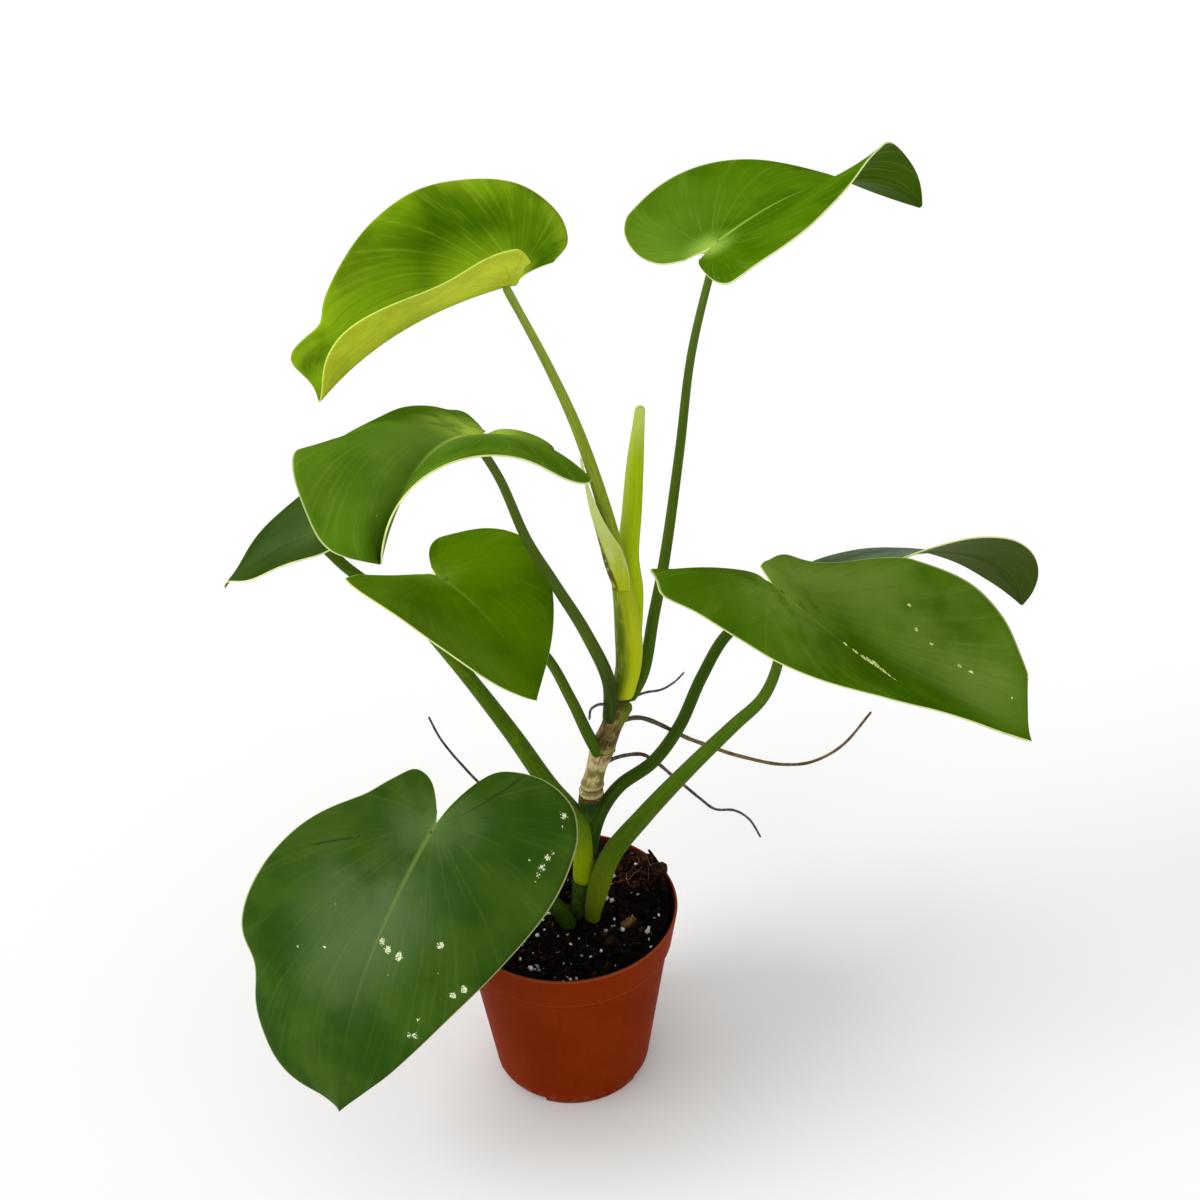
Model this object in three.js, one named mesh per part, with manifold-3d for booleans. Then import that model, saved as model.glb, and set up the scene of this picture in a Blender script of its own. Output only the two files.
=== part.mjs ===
// A potted Philodendron rugosum: a round nursery pot with its potting mix, one leaning stem,
// eight heart-shaped leaves on their petioles, the new leaf still rolled, and five aerial roots.
// Millimetres, +Z up. The origin is the middle of the pot's base. +X is the plant's right and
// -Y its front. Leaves are numbered from the youngest down.
import * as THREE from "three";
import { mergeVertices } from "three/addons/utils/BufferGeometryUtils.js";
import Module from "manifold-3d";

const wasm = await Module();
wasm.setup();

// Driving dimensions of the pot
const RIM_RADIUS = 60;
const BASE_RADIUS = 43;
const POT_HEIGHT = 108;
const RIM_BAND = 21;
const POT_WALL = 1.6;
const RIM_STEP = 1.8;
const BAND_RADIUS_RISE = 0.6;
const FLOOR_THICKNESS = 5;
const FOOT_GAP_HEIGHT = 3;
const FOOT_GAP_DEGREES = 48;
const FOOT_GAP_START = -158;
const FOOT_COUNT = 3;
const FOOT_DISC_RADIUS = 26;
const DRAIN_RADIUS = 3.5;
const DRAIN_CIRCLE = 34;
const POT_SEGMENTS = 48;

// Driving dimensions of the planting
const SEAT_GAP = 0.3;
const SOIL_LEVEL = 101;
const SOIL_SLOPE = 0.08;
const SOIL_LOWEST = 91;
const SOIL_LUMP = 1.1;
const SOIL_SEGMENTS = 36;
const SOIL_HEAP = { x: 49, y: 21, spread: 16, rise: 8 };
const STEM_SIDES = 14;
const STEM_STEPS = 18;
const YOUNG_STEPS = 10;
const PETIOLE_SIDES = 10;
const PETIOLE_STEPS = 13;
const ROOT_SIDES = 8;
const ROOT_STEPS = 13;

// Driving dimensions of a blade
const BLADE_THICKNESS = 1;
const RIB_HEIGHT = 1.8;
const BLADE_ROWS = 17;
const BLADE_COLUMNS = 5;
const COLUMN_POWER = 1.5;
const VEIN_FAN_SHARE = 0.3;
const VEIN_FAN_LENGTH = 0.05;
const PETIOLE_SEAT = 5;

const COLOURS = {
  pot: 0x9c4a2c,
  mix: 0x1d1611,
  bark: 0x4a3222,
  cane: 0x9a7a4c,
  youngGreen: 0x8fae2a,
  petioleGreen: 0x4f7a1c,
  root: 0x7d6a4e,
};

// Half of a blade laid flat, from the back lobe beside the sinus to the tip: along the midrib as a
// share of its length, and out from it as a share of the half width.
const HALF_BLADE = new THREE.SplineCurve([
  new THREE.Vector2(-0.2, 0.09),
  new THREE.Vector2(-0.285, 0.28),
  new THREE.Vector2(-0.27, 0.56),
  new THREE.Vector2(-0.15, 0.83),
  new THREE.Vector2(0.04, 0.975),
  new THREE.Vector2(0.24, 1),
  new THREE.Vector2(0.45, 0.88),
  new THREE.Vector2(0.65, 0.655),
  new THREE.Vector2(0.82, 0.41),
  new THREE.Vector2(0.93, 0.19),
  new THREE.Vector2(1, 0),
]);

// One entry a leaf, the youngest first. at: the sinus, where blade and petiole meet. heading and
// pitch: the midrib's direction there, in degrees, and droop and back: how far it bends down at
// the tip and behind the sinus. left and right are the blade's two sides seen along the midrib:
// width in mm, fold and tipFold the rise from the midrib in degrees, curl its change out to the
// margin, lobe the length of the back lobe, lean the slant of the veins towards the tip, wave the
// margin's ripple in mm, and bumps its lobes and notches: at what row share, how much the half
// grows there, and over what spread. petiole: the points of its middle line up to the sinus.
// sheath: how much wider in mm its sheathing foot is.
const LEAVES = [
  {
    name: "leaf_1", colour: 0x86aa18, at: [-10, 0, 462],
    heading: -149, pitch: -4, roll: -9, length: 102, droop: 37, back: 63,
    left: {
      width: 37, fold: 53, tipFold: 30, curl: -5, lobe: 0.2, lean: 0.09, wave: 2.2,
      bumps: [[0.5, -0.16, 0.1]],
    },
    right: {
      width: 54, fold: 31, tipFold: 21, curl: 0, lobe: 1.04, lean: -0.06, wave: 0,
      bumps: [[0.8, 0.1, 0.05], [0.88, 0.5, 0.05]],
    },
    petiole: [
      [32, 0, 242], [36, 0, 262], [36, -1, 285], [34, -3, 308], [29, -3, 339],
      [16, -5, 390], [3, -4, 424],
    ],
    baseRadius: 5.4, tipRadius: 1.7, sheath: 2,
  },
  {
    name: "leaf_2", colour: 0x55861a, at: [77.5, 40, 460],
    heading: 35, pitch: 21, roll: -4, length: 142, droop: 64, back: 17,
    left: { width: 50, fold: -4, tipFold: -20, curl: 42, lobe: 0.41, lean: -0.07, wave: 0 },
    right: {
      width: 47, fold: 9, tipFold: 94, curl: -3, lobe: 0.28, lean: -0.11, wave: 1.7,
      bumps: [[0.8, -0.08, 0.08]],
    },
    petiole: [[35, 2, 238], [43, 7, 251], [49, 12, 281], [55, 19, 310], [63, 31, 362], [69, 37, 410]],
    baseRadius: 3.3, tipRadius: 1.8,
  },
  {
    name: "leaf_3", colour: 0x3f6a1c, at: [-27.5, -40, 408],
    heading: -111, pitch: 25, roll: -7, length: 104, droop: 80, back: -61,
    left: {
      width: 59, fold: 25, tipFold: 78, curl: -66, lobe: 0, lean: -0.02, wave: 2.3,
      bumps: [[0.14, 0.4, 0.05]],
    },
    right: {
      width: 46, fold: 15, tipFold: 34, curl: -45, lobe: 1.48, lean: 0.4, wave: -5.5,
      bumps: [[0, -0.6, 0.03], [0.06, -0.15, 0.03], [0.15, 0.25, 0.03], [0.3, -0.07, 0.05]],
    },
    petiole: [
      [26, -2, 229], [26, -9, 258], [16, -15, 290], [2, -25, 325], [-9, -32, 352], [-19, -38, 386],
    ],
    baseRadius: 3.7, tipRadius: 1.9,
  },
  {
    name: "leaf_4", colour: 0x3a5f26, at: [-119, 60, 309],
    heading: 152, pitch: -28, roll: 0, length: 86, droop: 20, back: 30,
    left: { width: 36, fold: -5, tipFold: 0, curl: 0, lobe: 1, lean: -0.1, wave: 1 },
    right: { width: 50, fold: 20, tipFold: 0, curl: 0, lobe: 1, lean: 0, wave: 1 },
    petiole: [
      [10, -4, 126], [9, -4, 165], [-7, 8, 183], [-25, 20, 208], [-54, 36, 245],
      [-72, 44, 265], [-107, 56, 290],
    ],
    baseRadius: 6, tipRadius: 2.8,
  },
  {
    name: "leaf_5", colour: 0x44741b, at: [-54.5, -1, 317],
    heading: -49, pitch: -3, roll: -2, length: 85, droop: 60, back: 14,
    left: {
      width: 52, fold: 8, tipFold: -26, curl: -11, lobe: 0.77, lean: -0.11, wave: 0.3,
      bumps: [[0, -0.52, 0.04], [0.12, 0.1, 0.05]],
    },
    right: {
      width: 55, fold: 9, tipFold: 7, curl: 20, lobe: 0.19, lean: -0.02, wave: -0.4,
      bumps: [[0, -0.42, 0.04], [0.22, 0.13, 0.06]],
    },
    petiole: [[21, -1, 206], [15, -7, 225], [7, -9, 249], [-5, -8, 275], [-30, -5, 299]],
    baseRadius: 3.3, tipRadius: 1.9,
  },
  {
    name: "leaf_6", colour: 0x335a1f, at: [-60, -50, 206],
    heading: -134.5, pitch: -43.5, roll: -16, length: 161, droop: 42, back: 0,
    left: {
      width: 71, fold: 14.5, tipFold: -18, curl: -38, lobe: 0.66, lean: -0.17, wave: 2.6,
      bumps: [[0, -0.76, 0.04]],
    },
    right: {
      width: 73, fold: 10, tipFold: -18, curl: -10, lobe: 0.68, lean: 0.35, wave: 2.5,
      bumps: [[0, -0.67, 0.03], [0.09, 0.12, 0.04], [0.21, -0.09, 0.05], [0.56, -0.1, 0.06]],
    },
    petiole: [[4, -5, 90], [-3, -9, 110], [-20, -22, 145], [-42, -38, 184]],
    baseRadius: 5, tipRadius: 2.8,
  },
  {
    name: "leaf_7", colour: 0x43701a, at: [100, -50, 336],
    heading: -9.5, pitch: -44, roll: 2.5, length: 144, droop: -29, back: 29,
    left: {
      width: 87, fold: -14, tipFold: 3, curl: 50, lobe: 0.46, lean: 0.49, wave: 1,
      bumps: [[0.03, 0.1, 0.03], [0.12, 0.14, 0.04], [0.24, -0.1, 0.07]],
    },
    right: {
      width: 55, fold: 17, tipFold: 39, curl: -42, lobe: 0, lean: -0.45, wave: 1.5,
      bumps: [[0.2, 0.11, 0.06], [0.33, -0.06, 0.06], [0.45, 0.06, 0.03]],
    },
    petiole: [
      [13, -5, 92], [15, -8, 113], [24, -13, 150], [42, -19, 182], [65, -27, 218],
      [85, -35, 248], [98, -41, 268], [104, -45, 290], [105, -48, 316],
    ],
    baseRadius: 6.8, tipRadius: 2,
  },
  {
    name: "leaf_8", colour: 0x456020, at: [141.5, 53, 278],
    heading: 18, pitch: 11, roll: -25, length: 138, droop: 80, back: -20,
    left: { width: 50, fold: 0, tipFold: 0, curl: 0, lobe: 1, lean: 0, wave: 0 },
    right: { width: 48, fold: 0, tipFold: 34, curl: 12, lobe: 1, lean: 0, wave: 0 },
    petiole: [
      [12, -3, 128], [14, -5, 150], [20, -2, 171], [30, 3, 184], [48, 10, 194],
      [62, 17, 211], [74, 25, 236], [88, 33, 257], [109, 42, 266], [137.5, 51, 267],
    ],
    baseRadius: 3.9, tipRadius: 2.7,
  },
];

// The stem's middle line from inside the mix to the top node, with its radius at each point.
const STEM = [
  { at: [8, 3, 64], radius: 5 },
  { at: [9, 0, 103], radius: 6.4 },
  { at: [10, 0, 130], radius: 6 },
  { at: [13, 0, 158], radius: 5.3 },
  { at: [15, 0, 180], radius: 6.3 },
  { at: [18, 0, 197], radius: 5.2 },
  { at: [22, 0, 211], radius: 6.2 },
  { at: [27, 0, 225], radius: 5.4 },
  { at: [32, 0, 239], radius: 6.8 },
];

const NEW_LEAF = [
  { at: [39, 3, 270], radius: 3.5 },
  { at: [39, 5, 300], radius: 4.8 },
  { at: [37, 5, 320], radius: 5 },
  { at: [39, 5, 345], radius: 4.6 },
  { at: [41, 5, 370], radius: 3.9 },
  { at: [44, 5, 399], radius: 2.4 },
];

// The papery bract: it crosses the youngest petiole's front, turns to its side and ends in a
// point. wrap, facing and turn are degrees.
const BRACT = {
  bottom: 309, top: 378, clearance: 0.5, flare: 2.6, thickness: 0.8, wrap: 90, facing: 262, turn: -55,
};

// Aerial roots, from the stem outwards
const ROOTS = [
  {
    radius: 1.3,
    points: [
      [28, 1, 226], [41, 9, 223], [69, 27, 195], [97, 40, 173], [121, 49, 160],
      [138, 56, 156], [155, 62, 162], [171, 67, 181],
    ],
  },
  { radius: 0.8, points: [[33, 1, 239], [44, 8, 239], [53, 12, 238], [60, 16, 240], [65, 20, 243]] },
  {
    radius: 1.1,
    points: [
      [18, 1, 198], [28, 6, 200], [41, 13, 197], [49, 20, 187], [60, 26, 171], [74, 33, 151],
      [83, 38, 139], [94, 44, 133], [103, 48, 123], [110, 50, 108],
    ],
  },
  {
    radius: 1,
    points: [
      [11, 2, 140], [-4, 12, 143], [-22, 18, 155], [-40, 19, 172], [-53, 14, 195], [-61, 12, 211],
      [-66, 10, 227],
    ],
  },
  { radius: 1, points: [[29, -2, 233], [25, -7, 242], [21, -11, 246], [17, -12, 244], [16, -13, 238]] },
];

const BARK_CHIPS = [
  { name: "bark_chip_1", size: [10, 5, 4], at: [33, -12, 103.5], turn: [10, -6, 35] },
  { name: "bark_chip_2", size: [9, 7, 7], at: [51, 16.5, 115.5], turn: [12, 14, 10] },
  { name: "bark_splinter", size: [2.4, 2.2, 15], at: [48, 25, 118], turn: [4, -27, 10] },
];

const radians = THREE.MathUtils.degToRad;
const vector = (point) => new THREE.Vector3(...point);

// A closed solid from a geometry, and a geometry back from a solid
function toSolid(geometry) {
  const bare = geometry.index ? geometry.toNonIndexed() : geometry.clone();
  bare.deleteAttribute("normal");
  bare.deleteAttribute("uv");
  const merged = mergeVertices(bare, 1e-3);
  return new wasm.Manifold(
    new wasm.Mesh({
      numProp: 3,
      vertProperties: new Float32Array(merged.attributes.position.array),
      triVerts: new Uint32Array(merged.index.array),
    }),
  );
}

function toGeometry(solid) {
  const mesh = solid.getMesh();
  const positions = new Float32Array(mesh.numVert * 3);
  for (let i = 0; i < mesh.numVert; i++) {
    positions.set(mesh.vertProperties.subarray(i * mesh.numProp, i * mesh.numProp + 3), i * 3);
  }
  return new THREE.BufferGeometry()
    .setAttribute("position", new THREE.BufferAttribute(positions, 3))
    .setIndex(new THREE.BufferAttribute(new Uint32Array(mesh.triVerts), 1));
}

// The largest body that is left of a solid once its neighbours, grown by the seat gap, are cut away
function carve(solid, neighbours) {
  let left = solid;
  for (const neighbour of neighbours) left = left.subtract(neighbour);
  const bodies = left.decompose();
  return bodies.sort((a, b) => b.volume() - a.volume())[0];
}

// A round bar along a curve whose radius changes, closed at both ends
function sweep(curve, radiusAt, steps, sides) {
  const frames = curve.computeFrenetFrames(steps, false);
  const positions = [];
  const index = [];
  for (let j = 0; j <= steps; j++) {
    const centre = curve.getPointAt(j / steps);
    const radius = radiusAt(j / steps);
    for (let i = 0; i < sides; i++) {
      const angle = (2 * Math.PI * i) / sides;
      const point = centre
        .clone()
        .addScaledVector(frames.normals[j], radius * Math.cos(angle))
        .addScaledVector(frames.binormals[j], radius * Math.sin(angle));
      positions.push(...point);
    }
  }
  for (let j = 0; j < steps; j++) {
    for (let i = 0; i < sides; i++) {
      const a = j * sides + i;
      const b = j * sides + ((i + 1) % sides);
      index.push(a, b, a + sides, b, b + sides, a + sides);
    }
  }
  const first = positions.length / 3;
  positions.push(...curve.getPointAt(0), ...curve.getPointAt(1));
  for (let i = 0; i < sides; i++) {
    const next = (i + 1) % sides;
    index.push(first, next, i);
    index.push(first + 1, steps * sides + i, steps * sides + next);
  }
  return new THREE.BufferGeometry()
    .setAttribute("position", new THREE.Float32BufferAttribute(positions, 3))
    .setIndex(index);
}

// A bar through stations that each have a point and a radius, grown on all sides by extra
function stationBar(stations, steps, sides, extra = 0) {
  const curve = new THREE.CatmullRomCurve3(stations.map((station) => vector(station.at)));
  const radii = new THREE.SplineCurve(
    stations.map((station, i) => new THREE.Vector2(i, station.radius)),
  );
  const radiusAt = (share) => radii.getPoint(curve.getUtoTmapping(share)).y + extra;
  return toSolid(sweep(curve, radiusAt, steps, sides));
}

// A thin closed sheet: upper and lower are equal grids of points, and each may end in one tip
// point. Both faces are cut into triangles the same way.
function sheet(upper, lower, upperTip, lowerTip) {
  const rows = upper.length;
  const columns = upper[0].length;
  const positions = [];
  for (const row of [...upper, ...lower]) {
    for (const point of row) positions.push(...point);
  }
  positions.push(...upperTip, ...lowerTip);
  const below = rows * columns;
  const tip = 2 * below;
  const index = [];
  const face = (a, b, c, shift, tipShift) => {
    const at = (v) => (v === tip ? tip + tipShift : v + shift);
    index.push(at(a), at(b), at(c));
  };
  const bothFaces = (a, b, c) => {
    face(a, b, c, 0, 0);
    face(c, b, a, below, 1);
  };
  for (let j = 0; j < rows - 1; j++) {
    for (let i = 0; i < columns - 1; i++) {
      const a = j * columns + i;
      bothFaces(a, a + 1, a + columns);
      bothFaces(a + 1, a + columns + 1, a + columns);
    }
  }
  const last = (rows - 1) * columns;
  for (let i = 0; i < columns - 1; i++) bothFaces(last + i, last + i + 1, tip);
  const rim = [];
  for (let i = 0; i < columns; i++) rim.push(i);
  for (let j = 1; j < rows; j++) rim.push(j * columns + columns - 1);
  rim.push(tip);
  for (let j = rows - 1; j > 0; j--) rim.push(j * columns);
  for (let k = 0; k < rim.length; k++) {
    const a = rim[k];
    const b = rim[(k + 1) % rim.length];
    const lowA = a === tip ? tip + 1 : a + below;
    const lowB = b === tip ? tip + 1 : b + below;
    index.push(b, a, lowA, b, lowA, lowB);
  }
  return new THREE.BufferGeometry()
    .setAttribute("position", new THREE.Float32BufferAttribute(positions, 3))
    .setIndex(index);
}

// The midrib of a leaf: its direction, the blade's sideways direction and its normal at a place
// along it, in mm from the sinus
function midribFrame(leaf, along) {
  const share = along / leaf.length;
  const ahead = Math.max(share, 0);
  const behind = Math.max(-share, 0);
  const heading = radians(leaf.heading);
  const pitch = radians(leaf.pitch - leaf.droop * ahead ** 1.5 + leaf.back * behind);
  const tangent = new THREE.Vector3(
    Math.cos(pitch) * Math.cos(heading),
    Math.cos(pitch) * Math.sin(heading),
    Math.sin(pitch),
  );
  const level = new THREE.Vector3(-Math.sin(heading), Math.cos(heading), 0);
  const side = level.clone().applyAxisAngle(tangent, radians(leaf.roll));
  return { tangent, side, normal: tangent.clone().cross(side) };
}

// Points along the midrib at even steps, from behind the back lobes to past the tip
function midribLine(leaf) {
  const stepCount = 300;
  const from = -0.5 * leaf.length;
  const step = (1.5 * leaf.length) / stepCount;
  const points = [new THREE.Vector3()];
  for (let i = 0; i < stepCount; i++) {
    const { tangent } = midribFrame(leaf, from + (i + 0.5) * step);
    points.push(points[i].clone().addScaledVector(tangent, step));
  }
  const at = (along) => {
    const place = THREE.MathUtils.clamp((along - from) / step, 0, stepCount - 1e-6);
    const i = Math.floor(place);
    return points[i].clone().lerp(points[i + 1], place - i);
  };
  const shift = vector(leaf.at).sub(at(0));
  return (along) => at(along).add(shift);
}

// Where a point of the flat blade lies once the leaf is bent: along the midrib and out from it
function bladePoint(leaf, line, sign, along, out) {
  const half = sign > 0 ? leaf.left : leaf.right;
  const { side, normal } = midribFrame(leaf, along);
  const share = THREE.MathUtils.clamp(along / leaf.length, 0, 1);
  const fold = radians(half.fold + half.tipFold * share * share);
  const bend = radians(half.curl || 0.01) / half.width;
  const reach = (Math.sin(fold + bend * out) - Math.sin(fold)) / bend;
  const rise = (Math.cos(fold) - Math.cos(fold + bend * out)) / bend;
  return line(along).addScaledVector(side, sign * reach).addScaledVector(normal, rise);
}

// The point of the flat blade at a row share (0 sinus, 1 tip) and a column share (0 midrib, 1 margin)
function flatPoint(leaf, half, row, column) {
  const edge = HALF_BLADE.getPoint(row);
  const lobe = edge.x < 0 ? half.lobe : 1;
  const out = Math.max(edge.y, 0);
  const edgeAlong = (edge.x * lobe + half.lean * out) * leaf.length;
  const bump = ([at, size, spread]) => size * Math.exp(-(((row - at) / spread) ** 2));
  const grown = column * (half.bumps ?? []).reduce((sum, entry) => sum + bump(entry), 1);
  const fan = Math.min(row / VEIN_FAN_SHARE, 1) * VEIN_FAN_LENGTH;
  const rest = Math.max((row - VEIN_FAN_SHARE) / (1 - VEIN_FAN_SHARE), 0) ** 1.3;
  const veinAlong = (fan + (1 - VEIN_FAN_LENGTH) * rest) * leaf.length;
  return {
    along: veinAlong + (edgeAlong - veinAlong) * grown,
    out: out * half.width * grown,
  };
}

// The top surface of one half with its normal. The margin ripples along the normal.
function bladeSurface(leaf, line, sign, row, column) {
  const half = sign > 0 ? leaf.left : leaf.right;
  const flat = flatPoint(leaf, half, row, column);
  const h = 0.5;
  const point = bladePoint(leaf, line, sign, flat.along, flat.out);
  const ahead = bladePoint(leaf, line, sign, flat.along + h, flat.out).sub(point);
  const outward = bladePoint(leaf, line, sign, flat.along, flat.out + h).sub(point);
  const normal = ahead.cross(outward).multiplyScalar(sign).normalize();
  const ripple = half.wave * Math.sin(6 * Math.PI * row) * column ** 3;
  return { point: point.addScaledVector(normal, ripple), normal };
}

// A blade as a closed sheet, its midrib a low ridge underneath. extra grows it on both faces.
function blade(leaf, extra = 0) {
  const line = midribLine(leaf);
  const upper = [];
  const lower = [];
  const place = (row, columnIndex) => {
    const sign = columnIndex >= 0 ? 1 : -1;
    const column = (Math.abs(columnIndex) / BLADE_COLUMNS) ** COLUMN_POWER;
    const { point, normal } = bladeSurface(leaf, line, sign, row, column);
    if (columnIndex === 0) normal.add(bladeSurface(leaf, line, -1, row, 0).normal).normalize();
    const rib = columnIndex === 0 ? RIB_HEIGHT * (1 - row) : 0;
    return {
      top: point.clone().addScaledVector(normal, extra),
      bottom: point.clone().addScaledVector(normal, -(BLADE_THICKNESS + rib + extra)),
    };
  };
  for (let j = 0; j < BLADE_ROWS; j++) {
    const pairs = [];
    for (let i = BLADE_COLUMNS; i >= -BLADE_COLUMNS; i--) pairs.push(place(j / BLADE_ROWS, i));
    upper.push(pairs.map((pair) => pair.top));
    lower.push(pairs.map((pair) => pair.bottom));
  }
  const tip = place(1, 0);
  return toSolid(sheet(upper, lower, tip.top, tip.bottom));
}

// A petiole's middle line: its own points, then its seat under the blade just ahead of the sinus
function petioleCurve(leaf) {
  const seat = midribLine(leaf)(PETIOLE_SEAT);
  return new THREE.CatmullRomCurve3([...leaf.petiole.map(vector), seat]);
}

// A petiole's radius at a share of its length, with its sheathing foot
function petioleRadius(leaf, share) {
  const span = leaf.baseRadius - leaf.tipRadius;
  const sheath = (leaf.sheath ?? 0) * (1 - THREE.MathUtils.smoothstep(share, 0.15, 0.45));
  return leaf.tipRadius + span * (1 - share) ** 1.3 + sheath;
}

function petiole(leaf, extra = 0) {
  const radiusAt = (share) => petioleRadius(leaf, share) + extra;
  return toSolid(sweep(petioleCurve(leaf), radiusAt, PETIOLE_STEPS, PETIOLE_SIDES));
}

function root(entry, extra = 0) {
  const curve = new THREE.CatmullRomCurve3(entry.points.map(vector));
  const radiusAt = (share) => entry.radius * (1 - 0.45 * share) + extra;
  return toSolid(sweep(curve, radiusAt, ROOT_STEPS, ROOT_SIDES));
}

// The bract follows the youngest petiole at a small clearance and narrows to its tip
function bract(leaf) {
  const curve = petioleCurve(leaf);
  const shareAt = (height) => {
    let share = 0;
    while (curve.getPointAt(share).z < height) share += 0.002;
    return share;
  };
  const from = shareAt(BRACT.bottom);
  const to = shareAt(BRACT.top);
  const ring = (share, turn, shift) => {
    const along = from + (to - from) * share;
    const flare = BRACT.flare * Math.sin(Math.PI * share);
    const radius = petioleRadius(leaf, along) + BRACT.clearance + flare + shift;
    const facing = BRACT.facing + BRACT.turn * THREE.MathUtils.smoothstep(share, 0, 0.6);
    const angle = radians(facing + turn);
    const outward = vector([Math.cos(angle), Math.sin(angle), 0]);
    return curve.getPointAt(along).addScaledVector(outward, radius);
  };
  const rows = 8;
  const columns = 6;
  const upper = [];
  const lower = [];
  for (let j = 0; j < rows; j++) {
    const share = j / rows;
    const half = BRACT.wrap * Math.min(1, 0.45 + 1.6 * share) * (1 - share ** 1.4);
    const turns = Array.from({ length: columns + 1 }, (_, i) => half * (1 - (2 * i) / columns));
    upper.push(turns.map((turn) => ring(share, -turn, BRACT.thickness)));
    lower.push(turns.map((turn) => ring(share, -turn, 0)));
  }
  return toSolid(sheet(upper, lower, ring(1, 0, BRACT.thickness), ring(1, 0, 0)));
}

// The outer radius of the pot's tapering wall below the rim band
function wallRadiusAt(height) {
  return BASE_RADIUS + ((RIM_RADIUS - RIM_STEP - BASE_RADIUS) * height) / POT_HEIGHT;
}

// The inner radius of the rim band, which widens from its foot to the rim
function bandInnerRadiusAt(height) {
  const foot = POT_HEIGHT - RIM_BAND + BAND_RADIUS_RISE;
  const from = wallRadiusAt(POT_HEIGHT - RIM_BAND) + RIM_STEP - POT_WALL;
  const to = RIM_RADIUS - POT_WALL;
  return from + ((to - from) * (height - foot)) / (POT_HEIGHT - foot);
}

// The pot: a tapering wall with a deeper rim band, and a floor on three feet
function pot() {
  const bandFoot = POT_HEIGHT - RIM_BAND;
  const wallRadius = wallRadiusAt(bandFoot);
  const bandRadius = wallRadius + RIM_STEP;
  const profile = [
    [0, 0],
    [BASE_RADIUS - 1, 0],
    [BASE_RADIUS, 1],
    [wallRadius, bandFoot],
    [bandRadius, bandFoot + BAND_RADIUS_RISE],
    [RIM_RADIUS, POT_HEIGHT - 0.5],
    [RIM_RADIUS - 0.5, POT_HEIGHT],
    [RIM_RADIUS - POT_WALL, POT_HEIGHT],
    [bandRadius - POT_WALL, bandFoot + BAND_RADIUS_RISE],
    [wallRadiusAt(bandFoot - 1) - POT_WALL, bandFoot - 1],
    [wallRadiusAt(FLOOR_THICKNESS) - POT_WALL, FLOOR_THICKNESS],
    [0, FLOOR_THICKNESS],
  ];
  let solid = toSolid(turned(profile, POT_SEGMENTS));
  for (let i = 0; i < FOOT_COUNT; i++) {
    const start = FOOT_GAP_START + (360 / FOOT_COUNT) * i;
    const middle = radians(start + FOOT_GAP_DEGREES / 2);
    const hole = new THREE.CylinderGeometry(DRAIN_RADIUS, DRAIN_RADIUS, 4 * FLOOR_THICKNESS, 16);
    hole.rotateX(Math.PI / 2);
    hole.translate(DRAIN_CIRCLE * Math.cos(middle), DRAIN_CIRCLE * Math.sin(middle), 0);
    solid = solid.subtract(toSolid(footGap(start))).subtract(toSolid(hole));
  }
  return solid;
}

// A raised stretch under the pot between two feet
function footGap(start) {
  const shape = new THREE.Shape();
  const from = radians(start);
  const to = radians(start + FOOT_GAP_DEGREES);
  shape.absarc(0, 0, BASE_RADIUS + 5, from, to, false);
  shape.absarc(0, 0, FOOT_DISC_RADIUS, to, from, true);
  shape.closePath();
  const cut = new THREE.ExtrudeGeometry(shape, {
    depth: FOOT_GAP_HEIGHT + 1, bevelEnabled: false, curveSegments: 8,
  });
  return cut.translate(0, 0, -1);
}

// A profile of radius and height turned round the pot's upright axis
function turned(profile, segments) {
  const outline = profile.map((point) => new THREE.Vector2(...point));
  return new THREE.LatheGeometry(outline, segments).rotateX(Math.PI / 2);
}

// The mix is heaped up to the back right, and its top is lumpy
function mixTop(x, y) {
  const away = Math.hypot(x - SOIL_HEAP.x, y - SOIL_HEAP.y) / SOIL_HEAP.spread;
  const slope = SOIL_LEVEL + SOIL_SLOPE * (x + y) + SOIL_HEAP.rise * Math.exp(-(away ** 2));
  const lumps = Math.sin(0.31 * x + 1) * Math.cos(0.27 * y) + 0.5 * Math.sin(0.5 * (x - y));
  return slope + SOIL_LUMP * lumps;
}

function pottingMix() {
  const bottom = FLOOR_THICKNESS + SEAT_GAP;
  const shoulder = POT_HEIGHT - RIM_BAND - 1;
  const gap = SEAT_GAP + 0.1;
  const inset = POT_WALL + gap;
  const bandFoot = POT_HEIGHT - RIM_BAND + 1.5;
  const edge = bandInnerRadiusAt(SOIL_LOWEST) - gap;
  const profile = [
    [0, bottom],
    [wallRadiusAt(bottom) - inset, bottom],
    [wallRadiusAt(shoulder) - inset, shoulder],
    [bandInnerRadiusAt(bandFoot) - gap, bandFoot],
    [edge, SOIL_LEVEL],
    [0.82 * edge, SOIL_LEVEL],
    [0.6 * edge, SOIL_LEVEL],
    [0.38 * edge, SOIL_LEVEL],
    [0.18 * edge, SOIL_LEVEL],
    [0, SOIL_LEVEL],
  ];
  const body = turned(profile, SOIL_SEGMENTS);
  const position = body.getAttribute("position");
  for (let i = 0; i < position.count; i++) {
    if (position.getZ(i) > bandFoot + 1) position.setZ(i, mixTop(position.getX(i), position.getY(i)));
  }
  return toSolid(body);
}

function barkChip(chip, extra = 0) {
  const [x, y, z] = chip.size.map((length) => length + 2 * extra);
  const shape = new THREE.BoxGeometry(x, y, z);
  const turn = new THREE.Euler(...chip.turn.map(radians));
  shape.applyMatrix4(new THREE.Matrix4().makeRotationFromEuler(turn));
  return toSolid(shape.translate(...chip.at));
}

const plant = new THREE.Group();

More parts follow.
